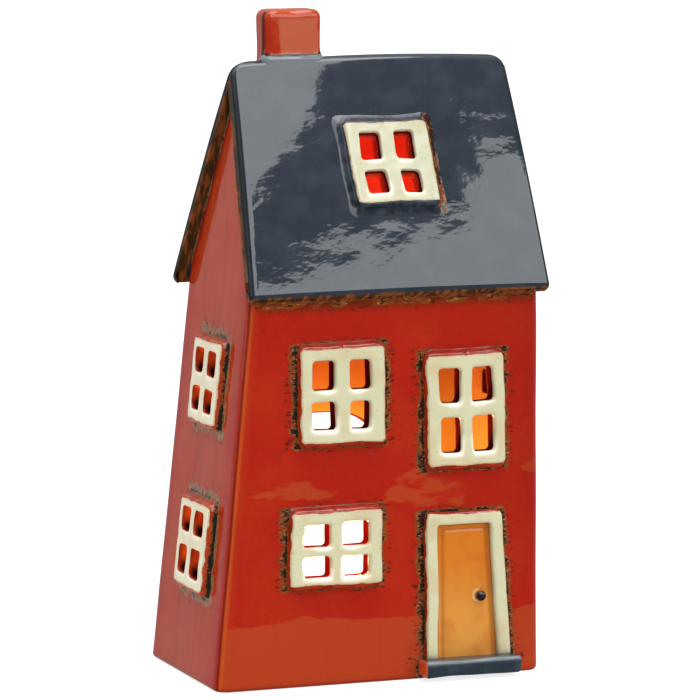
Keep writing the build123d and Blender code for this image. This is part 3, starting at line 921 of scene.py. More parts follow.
def back_wall():
    """Rings from the opening to the wall's outline, outside and then inside."""
    count = 40
    half = OPENING_WIDTH / 2
    hole = rounded_loop((-OPENING_CENTRE - half, OPENING_FOOT), (-OPENING_CENTRE + half, OPENING_TOP),
                        (0.6, 0.6, OPENING_ARCH, OPENING_ARCH), count)
    square = rounded_loop((0, 0), (1, 1), (0, 0, 0, 0), count)
    lip = in_space(hole, np.zeros(len(hole)), "back")
    lip_in = in_space(hole, np.full(len(hole), -WALL_THICKNESS), "back")
    skins = []
    for start, end, sign in ((lip, wall_outline(square, 0.0), 1),
                             (lip_in, wall_outline(square, WALL_THICKNESS), -1)):
        t = RING_SHARES[:, None, None]
        rings = start * (1 - t) + end * t
        far = np.linalg.norm(rings - start, axis=-1)
        push = -edge_drop(far, OPENING_EDGE) * sign
        if sign > 0:
            rings = round_corners(rings)
            push = push + 0.12 * waves(rings, 40.0, 5) * np.clip(t[..., 0] * (1 - t[..., 0]) * 8, 0, 1)
        skins.append(rings + push[..., None] * PLANES["back"][3])
    skin = np.concatenate([skins[0][::-1], skins[1]])
    rows, columns = skin.shape[:2]
    quads = grid_quads(rows, columns, ring_rows=True, ring_columns=True)
    return mesh_of("back_slab", skin.reshape(-1, 3), quads, sharp=CUT_SHARP)


back_mesh = back_wall()
write_marks(back_mesh, wall_marks(mesh_points(back_mesh), "back"))
lay_piece("glazed_back_wall", back_mesh, side_glaze, "house", "wall_glaze", "back_wall")

# %% [markdown]
# ## Slate roof glaze
# The roof is dipped in slate blue, so dark that nearly all one sees of it is the
# room mirrored in the gloss. The glaze thins to brown-green on the cut edge of
# the slab. The black along the rakes is painted shade, a dark reflection laid in
# the colour with the gloss taken off. Inside, the attic's red is painted bright
# as if lit by the candle. A fine unevenness breaks the mirrored edges into
# islands.

# %% Slate roof glaze
SLATE_DARK = (0.015, 0.022, 0.033)
SLATE_BLUE = (0.023, 0.031, 0.043)
# Painted shade: black standing for the dark reflection on the rakes' rounding.
RAKE_SHADE_BLACK = (0.004, 0.006, 0.006)
CUT_BROWN = (0.045, 0.022, 0.008)
CUT_RUST = (0.19, 0.056, 0.013)
SLATE_DUST = (0.050, 0.060, 0.070)
ROOF_AMBER = (0.17, 0.062, 0.020)
ATTIC_LIT_RED = (0.80, 0.046, 0.034)


def slate_finish():
    """Dark slate, rakes painted black as dark reflection and dulled, rust on cut faces, red in the
    attic painted bright as candle light.
    """
    finish, tree, shader = new_finish("slate_glaze", 0.045, 1.6)
    clouds = ramp(tree, mottle(tree, 9.0, 4.0), 0.40, 0.68)
    colour = layer(tree, clouds, SLATE_DARK, SLATE_BLUE)
    dust = ramp(tree, mottle(tree, 0.9, 2.0), 0.62, 0.75)
    colour = layer(tree, dust, colour, SLATE_DUST, 0.35)
    # Rakes: painted dark reflection, with the gloss taken off below.
    colour = layer(tree, mark(tree, "rake"), colour, RAKE_SHADE_BLACK)
    rust = layer(tree, ramp(tree, mottle(tree, 1.6, 3.0, (1, 4, 4)), 0.42, 0.6), CUT_BROWN, CUT_RUST)
    colour = layer(tree, mark(tree, "cut"), colour, rust)
    colour, black = crusted(tree, colour, mark(tree, "crust"), amber=ROOF_AMBER)
    # Attic: red glaze, painted brighter as if lit by the candle below.
    colour = layer(tree, mark(tree, "inside"), colour, ATTIC_LIT_RED)
    paint(tree, shader, colour)
    dulled_gloss = times(tree, mark(tree, "rake"), 0.85)
    dull(tree, shader, most(tree, dulled_gloss, times(tree, mark(tree, "cut"), 0.8)))
    wet_bump(tree, shader, 0.075, mottle(tree, 6.5, 3.0, (1.6, 1.0, 1.0), rough=0.45),
             times(tree, black, 3.0))
    return finish


slate_glaze = slate_finish()
print("roof finish:", slate_glaze.name)

# %% [markdown]
# ## Roof slabs
# Each slope is a slab with a rounded ridge, a rounded eave lip and rounded rake
# ends. Its section is one closed line: over the ridge, down the slope, round the
# lip, back along the underside. That section is carried along the house, pulled
# in at both ends to round them, and gently domed as a slab of clay dries.

# %% Roof slabs
RIDGE_RADIUS = 3.3
LIP_RADIUS = 2.2
END_RADIUS = 1.9
RAKE_OVERHANG = 2.8
LEFT_RAKE_SKEW = 0.045
RIGHT_RAKE_LEAN = 7.7
EAVE_HEIGHT = WALL_HEIGHT + ROOF_THICKNESS * math.cos(ROOF_PITCH)
EAVE_LENGTH = (RIDGE_TOP - EAVE_HEIGHT) / math.sin(ROOF_PITCH)
RIDGE_CORNER, EAVE_CORNER = 5.6, 1.6
CROWN_X, CROWN_RISE, CROWN_BEND = 12.0, 0.6, 0.0004
DOME_ACROSS, DOME_DOWN = 0.00115, 0.0011
DOME_X, DOME_S, DOME_RISE = 8.0, 44.0, 0.35
ROOF_RUN = 105.0


def roof_section():
    """Distance down the slope and height above it, and what each point is:
    rows of (s, h, slide, share) where slide is 1 on the weather side, and the
    height of the ridge's circle is r - sqrt(r^2 - (s_t - s)^2) below it."""
    half = math.pi / 2 - ROOF_PITCH
    tangent = RIDGE_RADIUS / math.tan(half)
    turn = np.linspace(math.pi / 2 - half, 0, 12)
    ridge = np.stack([tangent - RIDGE_RADIUS * np.sin(turn), -RIDGE_RADIUS * (1 - np.cos(turn))], -1)
    slope = np.linspace(tangent, EAVE_LENGTH - LIP_RADIUS, 74)[1:]
    slope = np.stack([slope, 0 * slope], -1)
    bend = np.linspace(0, math.pi / 2, 8)[1:]
    lip = np.stack([EAVE_LENGTH - LIP_RADIUS * (1 - np.sin(bend)),
                    -LIP_RADIUS * (1 - np.cos(bend))], -1)
    cut = np.linspace(-LIP_RADIUS, -ROOF_THICKNESS, 5)[1:]
    cut = np.stack([np.full(4, EAVE_LENGTH), cut], -1)
    under = np.linspace(EAVE_LENGTH, ROOF_THICKNESS * SLOPE, 30)[1:]
    under = np.stack([under, np.full(29, -ROOF_THICKNESS)], -1)
    line = np.concatenate([ridge, slope, lip, cut, under])
    weather = np.arange(len(line)) < len(ridge) + len(slope) + len(lip)
    return line, weather.astype(float)


def left_rake(y, z):
    """Left end of the roof: along the leaning gable, one overhang out, and a
    little skew, so that the back reaches further than the front."""
    lean = math.hypot(1, LEFT_LEAN / WALL_HEIGHT)
    return HOUSE_LEFT + LEFT_LEAN * z / WALL_HEIGHT - RAKE_OVERHANG * lean - LEFT_RAKE_SKEW * y


def right_rake(z):
    """Right end of the roof, leaning in towards the ridge."""
    return HOUSE_RIGHT + RAKE_OVERHANG + RIGHT_RAKE_LEAN * (WALL_HEIGHT - z) / RIDGE_TOP


print("roof section points:", len(roof_section()[0]))


# %% One slope
def roof_slab(facing):
    """Carries the section from the left rake to the right one. `facing` is -1
    for the front slope and 1 for the back."""
    line, weather = roof_section()
    ease = END_RADIUS * (1 - np.cos(np.linspace(0, np.pi / 2, 8)))
    middle = np.linspace(END_RADIUS / ROOF_RUN, 1 - END_RADIUS / ROOF_RUN, 92)[1:-1]
    stations = np.concatenate([ease / ROOF_RUN, middle, 1 - ease[::-1] / ROOF_RUN])
    s, h = line[:, 0], line[:, 1]
    y = RIDGE_Y + facing * (s * math.cos(ROOF_PITCH) + h * math.sin(ROOF_PITCH))
    z = RIDGE_TOP - s * math.sin(ROOF_PITCH) + h * math.cos(ROOF_PITCH)
    corner = edge_drop(s - s.min(), RIDGE_CORNER) + edge_drop(EAVE_LENGTH - s, EAVE_CORNER)
    left = left_rake(y, z) + corner
    right = right_rake(z) - corner
    x = left + (right - left) * stations[:, None]
    from_end = np.minimum(stations, 1 - stations)[:, None] * ROOF_RUN
    dome = -DOME_ACROSS / 2 * (x - DOME_X) ** 2 - DOME_DOWN / 2 * (s - DOME_S) ** 2 + DOME_RISE
    flat = np.stack([x, np.broadcast_to(s * facing, x.shape)], -1)
    dome = dome + 0.05 * waves(flat, 34.0, 21) + 0.012 * waves(flat, 13.0, 22)
    height = h + weather * (dome - edge_drop(from_end, END_RADIUS))
    y = RIDGE_Y + facing * np.maximum(s * math.cos(ROOF_PITCH) + height * math.sin(ROOF_PITCH), 0)
    z = RIDGE_TOP - s * math.sin(ROOF_PITCH) + height * math.cos(ROOF_PITCH)
    crown = CROWN_RISE - CROWN_BEND * (x - CROWN_X) ** 2
    z = z + weather * np.exp(-((s / 16) ** 2)) * crown
    return np.stack([x, y, z], -1)


print("slope length in mm:", round(EAVE_LENGTH, 2))


# %% Roof marks
def roof_marks(points, facing):
    """Marks for the attic side, the rakes, the cut edge and the crust."""
    s = (RIDGE_TOP - points[:, 2]) * math.sin(ROOF_PITCH)
    s = s + (points[:, 1] - RIDGE_Y) * facing * math.cos(ROOF_PITCH)
    h = (points[:, 2] - RIDGE_TOP) * math.cos(ROOF_PITCH)
    h = h + (points[:, 1] - RIDGE_Y) * facing * math.sin(ROOF_PITCH)
    from_left = points[:, 0] - left_rake(points[:, 1], points[:, 2])
    from_end = np.minimum(from_left, right_rake(points[:, 2]) - points[:, 0])
    rake = np.clip(1.4 - from_end / 1.1, 0, 1)
    cut = np.clip((s - EAVE_LENGTH + 0.9) / 0.5, 0, 1) * np.clip((-h - 1.0) / 1.2, 0, 1)
    soffit = np.clip((-h - 5.2) / 0.5, 0, 1) * np.clip(4.2 - from_end, 0, 1)
    cut = np.maximum(cut, soffit)
    crust = np.zeros(len(points))
    if facing < 0:
        _, centre, size, _, _, _ = WINDOWS["roof_window"]
        half = np.array(size) / 2
        flat = np.stack([points[:, 0], -s], -1)
        crust = crust_round(flat, centre - half, centre + half,
                            {"left": 0.3, "right": 1.7, "above": 0.25, "below": 0.4})
        crust = crust * np.clip((flat[:, 0] - centre[0]) / 6, 0.0, 1)
    inside = np.clip((-h - 3.6) / 0.8, 0, 1) * np.clip((from_end - 5.5) / 0.6, 0, 1)
    inside = inside * np.clip((EAVE_LENGTH - 9.0 - s) / 0.8, 0, 1)
    return {"inside": inside, "rake": rake, "cut": cut, "crust": crust}


for facing, node_name in ((-1, "front_roof_slab"), (1, "back_roof_slab")):
    roof_mesh = tube_mesh(node_name + "_clay", roof_slab(facing))
    if facing < 0:
        roof_mesh = cut_panes(roof_mesh, "roof")
    write_marks(roof_mesh, roof_marks(mesh_points(roof_mesh), facing))
    soften(roof_mesh, CUT_SHARP)
    lay_piece("glazed_" + node_name, roof_mesh, slate_glaze, "house", "roof_glaze", node_name)

# %% [markdown]
# ## Frame glaze
# The frames are brushed with a thick cream glaze on the face only. The brush
# stops short of the edge in places, so red shows at the top and bottom and on
# the sides. The mark `cream` is the distance inside the brushed area, negative
# outside it, and noise makes the border wander.

# %% Frame glaze
SPECK_BROWN = (0.36, 0.20, 0.08)
# Painted highlight: near white cream along the bottom edge of each pane.
SILL_HIGHLIGHT_CREAM = (0.90, 0.86, 0.72)
THIN_TAN = (0.42, 0.20, 0.07)


def frame_finish(name, cream, beige, side, side_dark, reveal, reveal_low, foot_reveal=None):
    """Cream laid over crusted clay inside its wandering border, thin and tan along it."""
    finish, tree, shader = new_finish(name, 0.10)
    pooled = ramp(tree, mottle(tree, 9.0, 3.0), 0.45, 0.70)
    brushed = layer(tree, pooled, cream, beige)
    specks = ramp(tree, mottle(tree, 0.8, 2.0), 0.66, 0.74)
    brushed = layer(tree, specks, brushed, SPECK_BROWN, 0.45)
    wander = times(tree, less(tree, mottle(tree, 4.5, 2.0), 0.5), 1.3)
    border = plus(tree, mark(tree, "cream"), wander)
    clay = layer(tree, ramp(tree, mottle(tree, 4.0, 2.0), 0.40, 0.65), side, side_dark)
    clay, _ = crusted(tree, clay, mark(tree, "crust"))
    # The pane sides: painted shade, darkest at each pane's bottom and lighter towards its top, and
    # painted light on low windows.
    deep = layer(tree, ramp(tree, mark(tree, "glow"), 0.15, 0.65), reveal_low, reveal)
    if foot_reveal:
        deep = layer(tree, ramp(tree, axis(tree, 2), *FOOT_LIGHT), deep, foot_reveal)
    clay = layer(tree, mark(tree, "tube"), clay, deep)
    # Painted highlight on the pane sills.
    brushed = layer(tree, mark(tree, "sill_highlight"), brushed, SILL_HIGHLIGHT_CREAM)
    colour = layer(tree, ramp(tree, border, -0.10, 0.10), clay, brushed)
    thin = times(tree, ramp(tree, border, 0.75, 0.10), ramp(tree, border, -0.05, 0.10))
    colour = layer(tree, thin, colour, THIN_TAN, 0.45)
    paint(tree, shader, colour)
    dull(tree, shader, mark(tree, "tube"))
    wet_bump(tree, shader, 0.12, ramp(tree, border, -0.35, 0.45),
             times(tree, mottle(tree, 4.0, 2.0), 0.8))
    return finish


FRAME_RED, FRAME_DARK_RED = (0.30, 0.022, 0.006), (0.20, 0.010, 0.004)
# Darkest painted shade, at the bottom of the pane sides.
REVEAL_SHADE_BLACK = (0.020, 0.003, 0.002)
cream_glaze = frame_finish("cream_glaze", (0.515, 0.500, 0.327), (0.50, 0.43, 0.262),
                           FRAME_RED, FRAME_DARK_RED, REVEAL_SHADE_RED, REVEAL_SHADE_BLACK, REVEAL_LIT)
# Gable frames: a lit copy of the cream painted brighter, with pane sides painted as orange light over
# dark shade.
gable_lit_cream = frame_finish("gable_lit_cream_glaze", (0.70, 0.66, 0.490), (0.68, 0.60, 0.420),
                           (0.40, 0.050, 0.010), FRAME_RED, (0.55, 0.075, 0.012), REVEAL_SHADE_BLACK)
roof_cream = frame_finish("roof_cream_glaze", (0.49, 0.485, 0.350), (0.48, 0.45, 0.310),
                          (0.030, 0.040, 0.052), (0.012, 0.016, 0.022), REVEAL_SHADE_RED, REVEAL_SHADE_BLACK)
FRAME_FINISHES = {"front": cream_glaze, "roof": roof_cream, "left": gable_lit_cream, "right": gable_lit_cream}
print("frame finishes:", sorted(FRAME_FINISHES))

# %% [markdown]
# ## Window frames
# A frame is a soft slab with four holes. It is worked out as four cells, each a
# ring of points between one pane and its quarter of the frame. The height over
# the ring drops in a quarter-round towards the pane and towards the outline. The
# cells share the points along the bars, so welding gives one closed piece.

# %% Window frames
FRAME_RADIUS = 2.6
OUTER_EDGE = 1.5
PANE_EDGE, GABLE_PANE_EDGE, ROOF_PANE_EDGE = (1.15, 0.35), (0.45, -0.22), (0.55, 0.15)
FRAME_SINK = 0.5
FRAME_SPREAD, ROOF_SPREAD = (0.5, 0.7), (1.4, 3.8)
TUBE_HEIGHTS = np.array([-FRAME_SINK, 0.5, 1.2])
RING_STEPS = np.array([0, 0.03, 0.08, 0.15, 0.25, 0.38, 0.5, 0.62, 0.75, 0.85, 0.92, 0.97, 1.0])
CREAM_MARGIN = {"top": 1.35, "bottom": 1.5, "side": 0.45}


def cell_rings(pane, cell, size, inner_edge, cream_depth):
    """Flat points, heights, spread and marks of one cell: the back sheet, the
    pane's tube from back to front, and the face from pane to outline."""
    t = RING_STEPS[:, None, None]
    face = pane * (1 - t) + cell * t
    from_pane = np.linalg.norm(face - pane, axis=-1)
    from_edge = -box_distance(face, (0, 0), size, FRAME_RADIUS)
    height = FRAME_RELIEF - edge_drop(from_pane, inner_edge) - edge_drop(from_edge, OUTER_EDGE)
    height = height + 0.18 * waves(face, 11.0, 61) * np.clip(from_edge / 2, 0, 1)
    count = len(pane)
    tube = np.broadcast_to(TUBE_HEIGHTS[:, None], (len(TUBE_HEIGHTS), count))
    flat = np.concatenate([cell[None], np.repeat(pane[None], len(tube), 0), face])
    height = np.concatenate([np.full((1, count), -FRAME_SINK), tube, height])
    top = size[1] - face[..., 1] - CREAM_MARGIN["top"]
    low = face[..., 1] - CREAM_MARGIN["bottom"]
    side = np.minimum(face[..., 0], size[0] - face[..., 0]) - CREAM_MARGIN["side"]
    cream = np.minimum(np.minimum(top, low), np.minimum(side, from_edge))
    if cream_depth < 0:
        cream = np.minimum(cream, 3.0 * (from_pane + cream_depth))
    deep = tube - (FRAME_RELIEF - inner_edge) + cream_depth
    cream = np.concatenate([np.full((1, count), -3.0), deep, cream])
    outward = cell - pane
    # Painted highlight mark on the pane's lower rounding, where a sill catches the light.
    below = np.clip(-1.8 * outward[:, 1] / np.linalg.norm(outward, axis=1) - 0.7, 0, 1)
    lit = below * np.exp(-((from_pane / 1.3) ** 2))
    # Share of the way up the pane, which grades the painted shade and light on the pane sides.
    share = (pane[:, 1] - pane[:, 1].min()) / np.ptp(pane[:, 1])
    back, hole = np.zeros((1, count)), np.zeros(tube.shape)
    spread_share = np.concatenate([back + 1, hole, np.repeat(RING_STEPS[:, None], count, 1)])
    return flat, height, spread_share, {
        "cream": cream, "sill_highlight": np.concatenate([back, hole, lit]),
        "tube": np.concatenate([back, hole + 1, 0 * lit]),
        "glow": np.broadcast_to(share, height.shape)}


def skirt_rings(outline):
    """The frame's outer side, from the face's edge down into the wall."""
    levels = np.array([FRAME_RELIEF - OUTER_EDGE, 1.2, 0.9, 0.6, 0.35, 0.1, -FRAME_SINK])
    flat = np.repeat(outline[None], len(levels), 0)
    height = np.broadcast_to(levels[:, None], flat.shape[:2])
    plain = np.zeros(height.shape)
    return flat, height, plain + 1, {"cream": height - FRAME_RELIEF + OUTER_EDGE - 0.8,
                                     "sill_highlight": plain, "tube": plain, "glow": plain}


def spread(flat, height, size, weight, lean, toe):
    """The sides lean out as they get lower, and end in a hollow toe: the offset
    is lean times the drop, plus toe times the square of the share of the way down."""
    half = np.array(size) / 2
    low = np.clip((FRAME_RELIEF - OUTER_EDGE - height) / FRAME_RELIEF, 0, 1)
    foot = np.clip((1.5 - height) / (1.5 + FRAME_SINK), 0, 1) ** 2
    return flat + (flat - half) / half * (weight * (lean * low + toe * foot))[..., None]


def crust_amount(flat, size, face):
    """Share of crust on a frame's sides: most beside it, little above, and on
    the roof only at the right."""
    right = flat[..., 0] > size[0] - 0.8
    beside = right | (flat[..., 0] < 0.8)
    if face == "roof":
        return np.where(right, 0.95, 0.0)
    if face in ("left", "right"):
        return np.where(beside, 1.45, 0.5)
    return np.where(beside, 0.95, np.where(flat[..., 1] > size[1] - 0.8, 0.35, 0.55))


print("rings of a cell:", 1 + len(TUBE_HEIGHTS) + len(RING_STEPS))


# %% Whole frames
def window_frame(number, face, centre, size, push, columns, rows):
    """Welds four cells and the skirt, and places them on the wall plane."""
    across, up = pane_edges(size, columns, rows)
    bar = (across[0][1] + across[1][0]) / 2, (up[0][1] + up[1][0]) / 2
    limits = ((0, bar[0], size[0]), (0, bar[1], size[1]))
    n = SIDE_POINTS
    groups, sides = [], {}
    pane_edge = {"front": PANE_EDGE, "roof": ROOF_PANE_EDGE}.get(face, GABLE_PANE_EDGE)
    for ix in (0, 1):
        for iy in (0, 1):
            low = np.array((limits[0][ix], limits[1][iy]))
            high = np.array((limits[0][ix + 1], limits[1][iy + 1]))
            corner = (0, 1, 3, 2)[ix + 2 * iy]
            radii = [FRAME_RADIUS if k == corner else 0.0 for k in range(4)]
            cell = rounded_loop(low, high, radii, n)
            pane = rounded_loop((across[ix][0], up[iy][0]), (across[ix][1], up[iy][1]),
                                [PANE_RADIUS] * 4, n)
            groups.append(cell_rings(pane, cell, size, *pane_edge))
            sides[ix, iy] = cell.reshape(4, n, 2)
    order = ((0, 0, 3), (0, 0, 0), (1, 0, 0), (1, 0, 1), (1, 1, 1), (1, 1, 2), (0, 1, 2), (0, 1, 3))
    outline = np.concatenate([sides[ix, iy][k] for ix, iy, k in order])
    groups.append(skirt_rings(outline))
    points, quads, marks, first = [], [], {}, 0
    lean, toe = ROOF_SPREAD if face == "roof" else FRAME_SPREAD
    for flat, height, share, told in groups:
        wide = spread(flat, height, size, share, lean, toe)
        placed = on_window(wide, centre, size, push, number * 10)
        points.append(in_space(placed, height, face).reshape(-1, 3))
        quads.append(grid_quads(*height.shape, ring_columns=True, first=first))
        told["crust"] = np.clip(1.25 - height / 1.5, 0, 1) * crust_amount(flat, size, face)
        for name, values in told.items():
            marks.setdefault(name, []).append(values.ravel())
        first += height.size
    marks = {name: np.concatenate(values) for name, values in marks.items()}
    return weld(np.concatenate(points), np.concatenate(quads), marks)


for number, (node_name, spec) in enumerate(WINDOWS.items()):
    points, quads, marks = window_frame(number, *spec)
    frame_mesh = mesh_of(node_name + "_clay", points, quads, marks=marks, sharp=60.0)
    lay_piece("pressed_" + node_name, frame_mesh, FRAME_FINISHES[spec[0]], "house", "frame_glaze",
              node_name)

# %% [markdown]
# ## Chimney
# The stack is a hollow-looking block that is really solid, with soft corners and
# a flat top. It is a stack of rounded rectangles. Where it meets the roof the
# slate glaze climbs it in a small fillet, so the rings flare out there.

# %% Chimney
CHIMNEY_RADIUS = 3.0
CHIMNEY_TOP_RADIUS = 2.8
CHIMNEY_FILLET = 1.3
STACK_RED = (0.32, 0.018, 0.005)
STACK_WARM = (0.37, 0.040, 0.012)
# Painted reflection: paler pink laid on the chimney's front.
STACK_REFLECTION_PALE = (0.40, 0.095, 0.048)
# Painted reflection: pale grey on the slate fillet round the chimney's foot.
FILLET_REFLECTION_GREY = (0.155, 0.172, 0.188)


def roof_top(y):
    """Height of the roof's outer face over y, with its rounded ridge."""
    far = np.abs(y - RIDGE_Y)
    bend = RIDGE_RADIUS * math.sin(ROOF_PITCH)
    crown = RIDGE_TOP - RIDGE_RADIUS / math.cos(ROOF_PITCH)
    crown = crown + np.sqrt(np.maximum(RIDGE_RADIUS**2 - far**2, 0))
    return np.where(far < bend, crown, RIDGE_TOP - far * SLOPE)


def chimney_stack():
    """Rounded rectangles from the attic up, pulled in at the top edge and
    spread where they pass through the roof."""
    low, high = box_in_mm("chimney")
    loop = rounded_loop(low[:2], high[:2], [CHIMNEY_RADIUS] * 4, 14)
    middle = (low[:2] + high[:2]) / 2
    out = (loop - middle) / np.linalg.norm(loop - middle, axis=1, keepdims=True)
    round_off = CHIMNEY_TOP_RADIUS * np.sin(np.linspace(0, np.pi / 2, 7))
    z = np.concatenate([np.linspace(low[2], high[2] - CHIMNEY_TOP_RADIUS, 110),
                        high[2] - CHIMNEY_TOP_RADIUS + round_off[1:]])
    rings = np.repeat(loop[None], len(z), 0)
    points = np.concatenate([rings, np.broadcast_to(z[:, None, None], rings.shape[:2] + (1,))], -1)
    above = points[..., 2] - roof_top(points[..., 1])
    swell = CHIMNEY_FILLET * np.exp(-np.maximum(above, 0) / 1.1) * (above > -3)
    swell = swell - edge_drop(high[2] - points[..., 2], CHIMNEY_TOP_RADIUS)
    swell = swell + 0.22 * waves(points, 16.0, 31)
    points[..., :2] += swell[..., None] * out
    lid = middle + (points[-1, :, :2] - middle) * np.array([0.85, 0.6, 0.3])[:, None, None]
    sunk = np.broadcast_to((high[2] - np.array([0.05, 0.2, 0.3]))[:, None, None], lid.shape[:2] + (1,))
    points = np.concatenate([points, np.concatenate([lid, sunk], -1)])
    above = np.concatenate([above, np.full(lid.shape[:2], 10.0)])
    rim = np.exp(-(((high[2] - points[..., 2]) / 1.6) ** 2))
    return points, {"above": above, "edge": rim}


def between(tree, value, low, high, blur):
    """1 between two limits in mm, fading over blur on either side."""
    rise = ramp(tree, value, (low - blur) * MM, (low + blur) * MM)
    return times(tree, rise, ramp(tree, value, (high + blur) * MM, (high - blur) * MM))


def chimney_finish():
    """Red with a paler field on the front as painted reflection, a dark left corner,
    and the slate of the roof climbing the foot, grey there as painted reflection."""
    finish, tree, shader = new_finish("red_glaze_chimney", 0.10)
    low, high = box_in_mm("chimney")
    x, y, z = (axis(tree, k) for k in range(3))
    clouds = ramp(tree, mottle(tree, 12.0, 3.0), 0.42, 0.64)
    colour = layer(tree, clouds, STACK_RED, STACK_WARM)
    bend = times(tree, less(tree, mottle(tree, 5.0, 2.0), 0.5), 3.0 * MM)
    # Field of painted reflection on the front face.
    field = between(tree, plus(tree, x, bend), low[0] + 5.2, high[0] - 1.4, 0.35)
    field = times(tree, field, between(tree, y, low[1] - 2.0, low[1] + 1.2, 0.3))
    field = times(tree, field, between(tree, z, low[2], high[2] - 2.9, 0.5))
    colour = layer(tree, field, colour, STACK_REFLECTION_PALE, 0.85)
    colour = layer(tree, mark(tree, "edge"), colour, EDGE_ORANGE, 0.45)
    side = between(tree, y, low[1] + 1.3, low[1] + 3.6, 0.5)
    side = times(tree, side, ramp(tree, x, (low[0] + 1.6) * MM, (low[0] + 0.6) * MM))
    colour = layer(tree, side, colour, LINE_BROWN, 0.85)
    wander = times(tree, mottle(tree, 3.0, 2.0), 1.1)
    climb_line = less(tree, mark(tree, "above"), wander)
    colour = layer(tree, ramp(tree, climb_line, 1.5, 0.7), colour, CRUST_BLACK)
    # Painted reflection on the slate fillet.
    colour = layer(tree, ramp(tree, climb_line, 0.6, 0.3), colour, FILLET_REFLECTION_GREY)
    paint(tree, shader, colour)
    dull(tree, shader, times(tree, side, 0.8))
    wet_bump(tree, shader, 0.10, mottle(tree, 6.0, 2.0))
    return finish


lay_piece("glazed_chimney", tube_mesh("chimney_clay", *chimney_stack()), chimney_finish(),
          "house", "wall_glaze", "chimney")

# %% [markdown]
# ## Door frame
# One rolled strip bent over the door, wider at the foot on the right. Its section
# is a low arch with rounded edges, carried up the left leg, over the top and down
# the right leg. Inner and outer lines have the same number of points, so every
# section simply spans from one to the other.

# %% Door frame
BAND = 4.5
LEG_FOOT = 6.2
BAND_CORNER_OUT, BAND_CORNER_IN = 2.4, 1.0
BAND_SHARES = np.array([0, 0.04, 0.11, 0.22, 0.36, 0.5, 0.64, 0.78, 0.89, 0.96, 1.0])


def door_line(inset, radius):
    """Line up the left leg, over the top and down the right leg, moved in from
    the outer outline by the inset, with its two corners rounded."""
    slant = DOOR_FLARE / DOOR_TOP
    left, top = DOOR_LEFT + inset, DOOR_TOP - inset
    turn = np.linspace(0, np.pi / 2, 9)
    rise = np.linspace(LEG_FOOT, top - radius, 34)
    over = np.linspace(left + radius, DOOR_RIGHT - inset - radius, 18)[1:-1]
    first = np.stack([left + radius * (1 - np.cos(turn)), top - radius * (1 - np.sin(turn))], -1)
    right = DOOR_RIGHT - inset
    second = np.stack([right - radius * (1 - np.sin(turn)), top - radius * (1 - np.cos(turn))], -1)
    line = np.concatenate([
        np.stack([np.full(33, left), rise[:-1]], -1), first,
        np.stack([over, np.full(16, top)], -1), second,
        np.stack([np.full(33, right), rise[::-1][1:]], -1)])
    lean = np.where(line[:, 0] > (DOOR_LEFT + DOOR_RIGHT) / 2, slant * (DOOR_TOP - line[:, 1]), 0)
    share = np.clip((line[:, 0] - DOOR_LEFT) / (DOOR_RIGHT - DOOR_LEFT), 0, 1)
    return np.stack([line[:, 0] + lean * share, line[:, 1]], -1)


def door_band():
    """Sections from the inner to the outer line with both edges rounded."""
    inner, outer = door_line(BAND, BAND_CORNER_IN), door_line(0.0, BAND_CORNER_OUT)
    t = BAND_SHARES[None, :, None]
    face = inner[:, None] * (1 - t) + outer[:, None] * t
    wide = np.linalg.norm(outer - inner, axis=1)[:, None]
    from_in, from_out = wide * BAND_SHARES, wide * (1 - BAND_SHARES)
    from_foot = np.maximum(face[..., 1] - LEG_FOOT, 0)
    height = (FRAME_RELIEF - edge_drop(from_in, 1.2) - edge_drop(from_out, 1.4)
              - edge_drop(from_foot, 1.2) + 0.15 * waves(face, 12.0, 71))
    feet_in = np.broadcast_to(inner[:, None], (len(inner), 3, 2))
    feet_out = np.broadcast_to(outer[:, None], (len(outer), 3, 2))
    up = np.broadcast_to(np.array([-FRAME_SINK, 0.3, 0.9]), feet_in.shape[:2])
    up = np.minimum(up, height[:, :1])
    flat = np.concatenate([feet_in, face, feet_out], 1)
    height = np.concatenate([up, height, up[:, ::-1]], 1)
    wobble = np.stack([waves(flat, 22.0, 73), waves(flat, 22.0, 74)], -1) * 0.25
    top_gap = DOOR_TOP - face[..., 1] - 0.7
    cream = np.minimum(np.minimum(from_out - 0.2, from_in + 0.6), top_gap)
    deep = up - 1.2
    cream = np.concatenate([deep + 1.4, cream, deep[:, ::-1] - 0.6], 1)
    crust = np.clip(1.2 - height / 1.5, 0, 1) * np.where(
        np.arange(height.shape[1]) > 10, 0.9, 0.0)
    return in_space(flat + wobble, height, "front"), {"cream": cream, "crust": crust}


lay_piece("pressed_door_frame", tube_mesh("door_frame_clay", *door_band(), 60.0), cream_glaze,
          "house", "frame_glaze", "door_frame")

# %% [markdown]
# ## Door, knob and step
# The door is a thin slab with one raised field, glazed ochre that pales towards
# the foot. The knob is turned from a profile. The step is a rounded bar carried
# from left to right, slate on top with red showing at its end.

# %% Door panel
PANEL_RELIEF = 1.6
PANEL_TUCK = 0.5
KNOB_AT = (35.0, 27.5)
OCHRE = (0.52, 0.148, 0.009)
PALE_OCHRE = (0.56, 0.240, 0.040)
CLOUD_OCHRE = (0.42, 0.100, 0.007)
GROOVE_BROWN = (0.27, 0.055, 0.006)
SHADE_BROWN = (0.20, 0.050, 0.006)
BORDER_BROWN = (0.34, 0.060, 0.010)
# Painted highlight: pale cream crescent beside the knob.
KNOB_HIGHLIGHT_CREAM = (0.78, 0.52, 0.28)


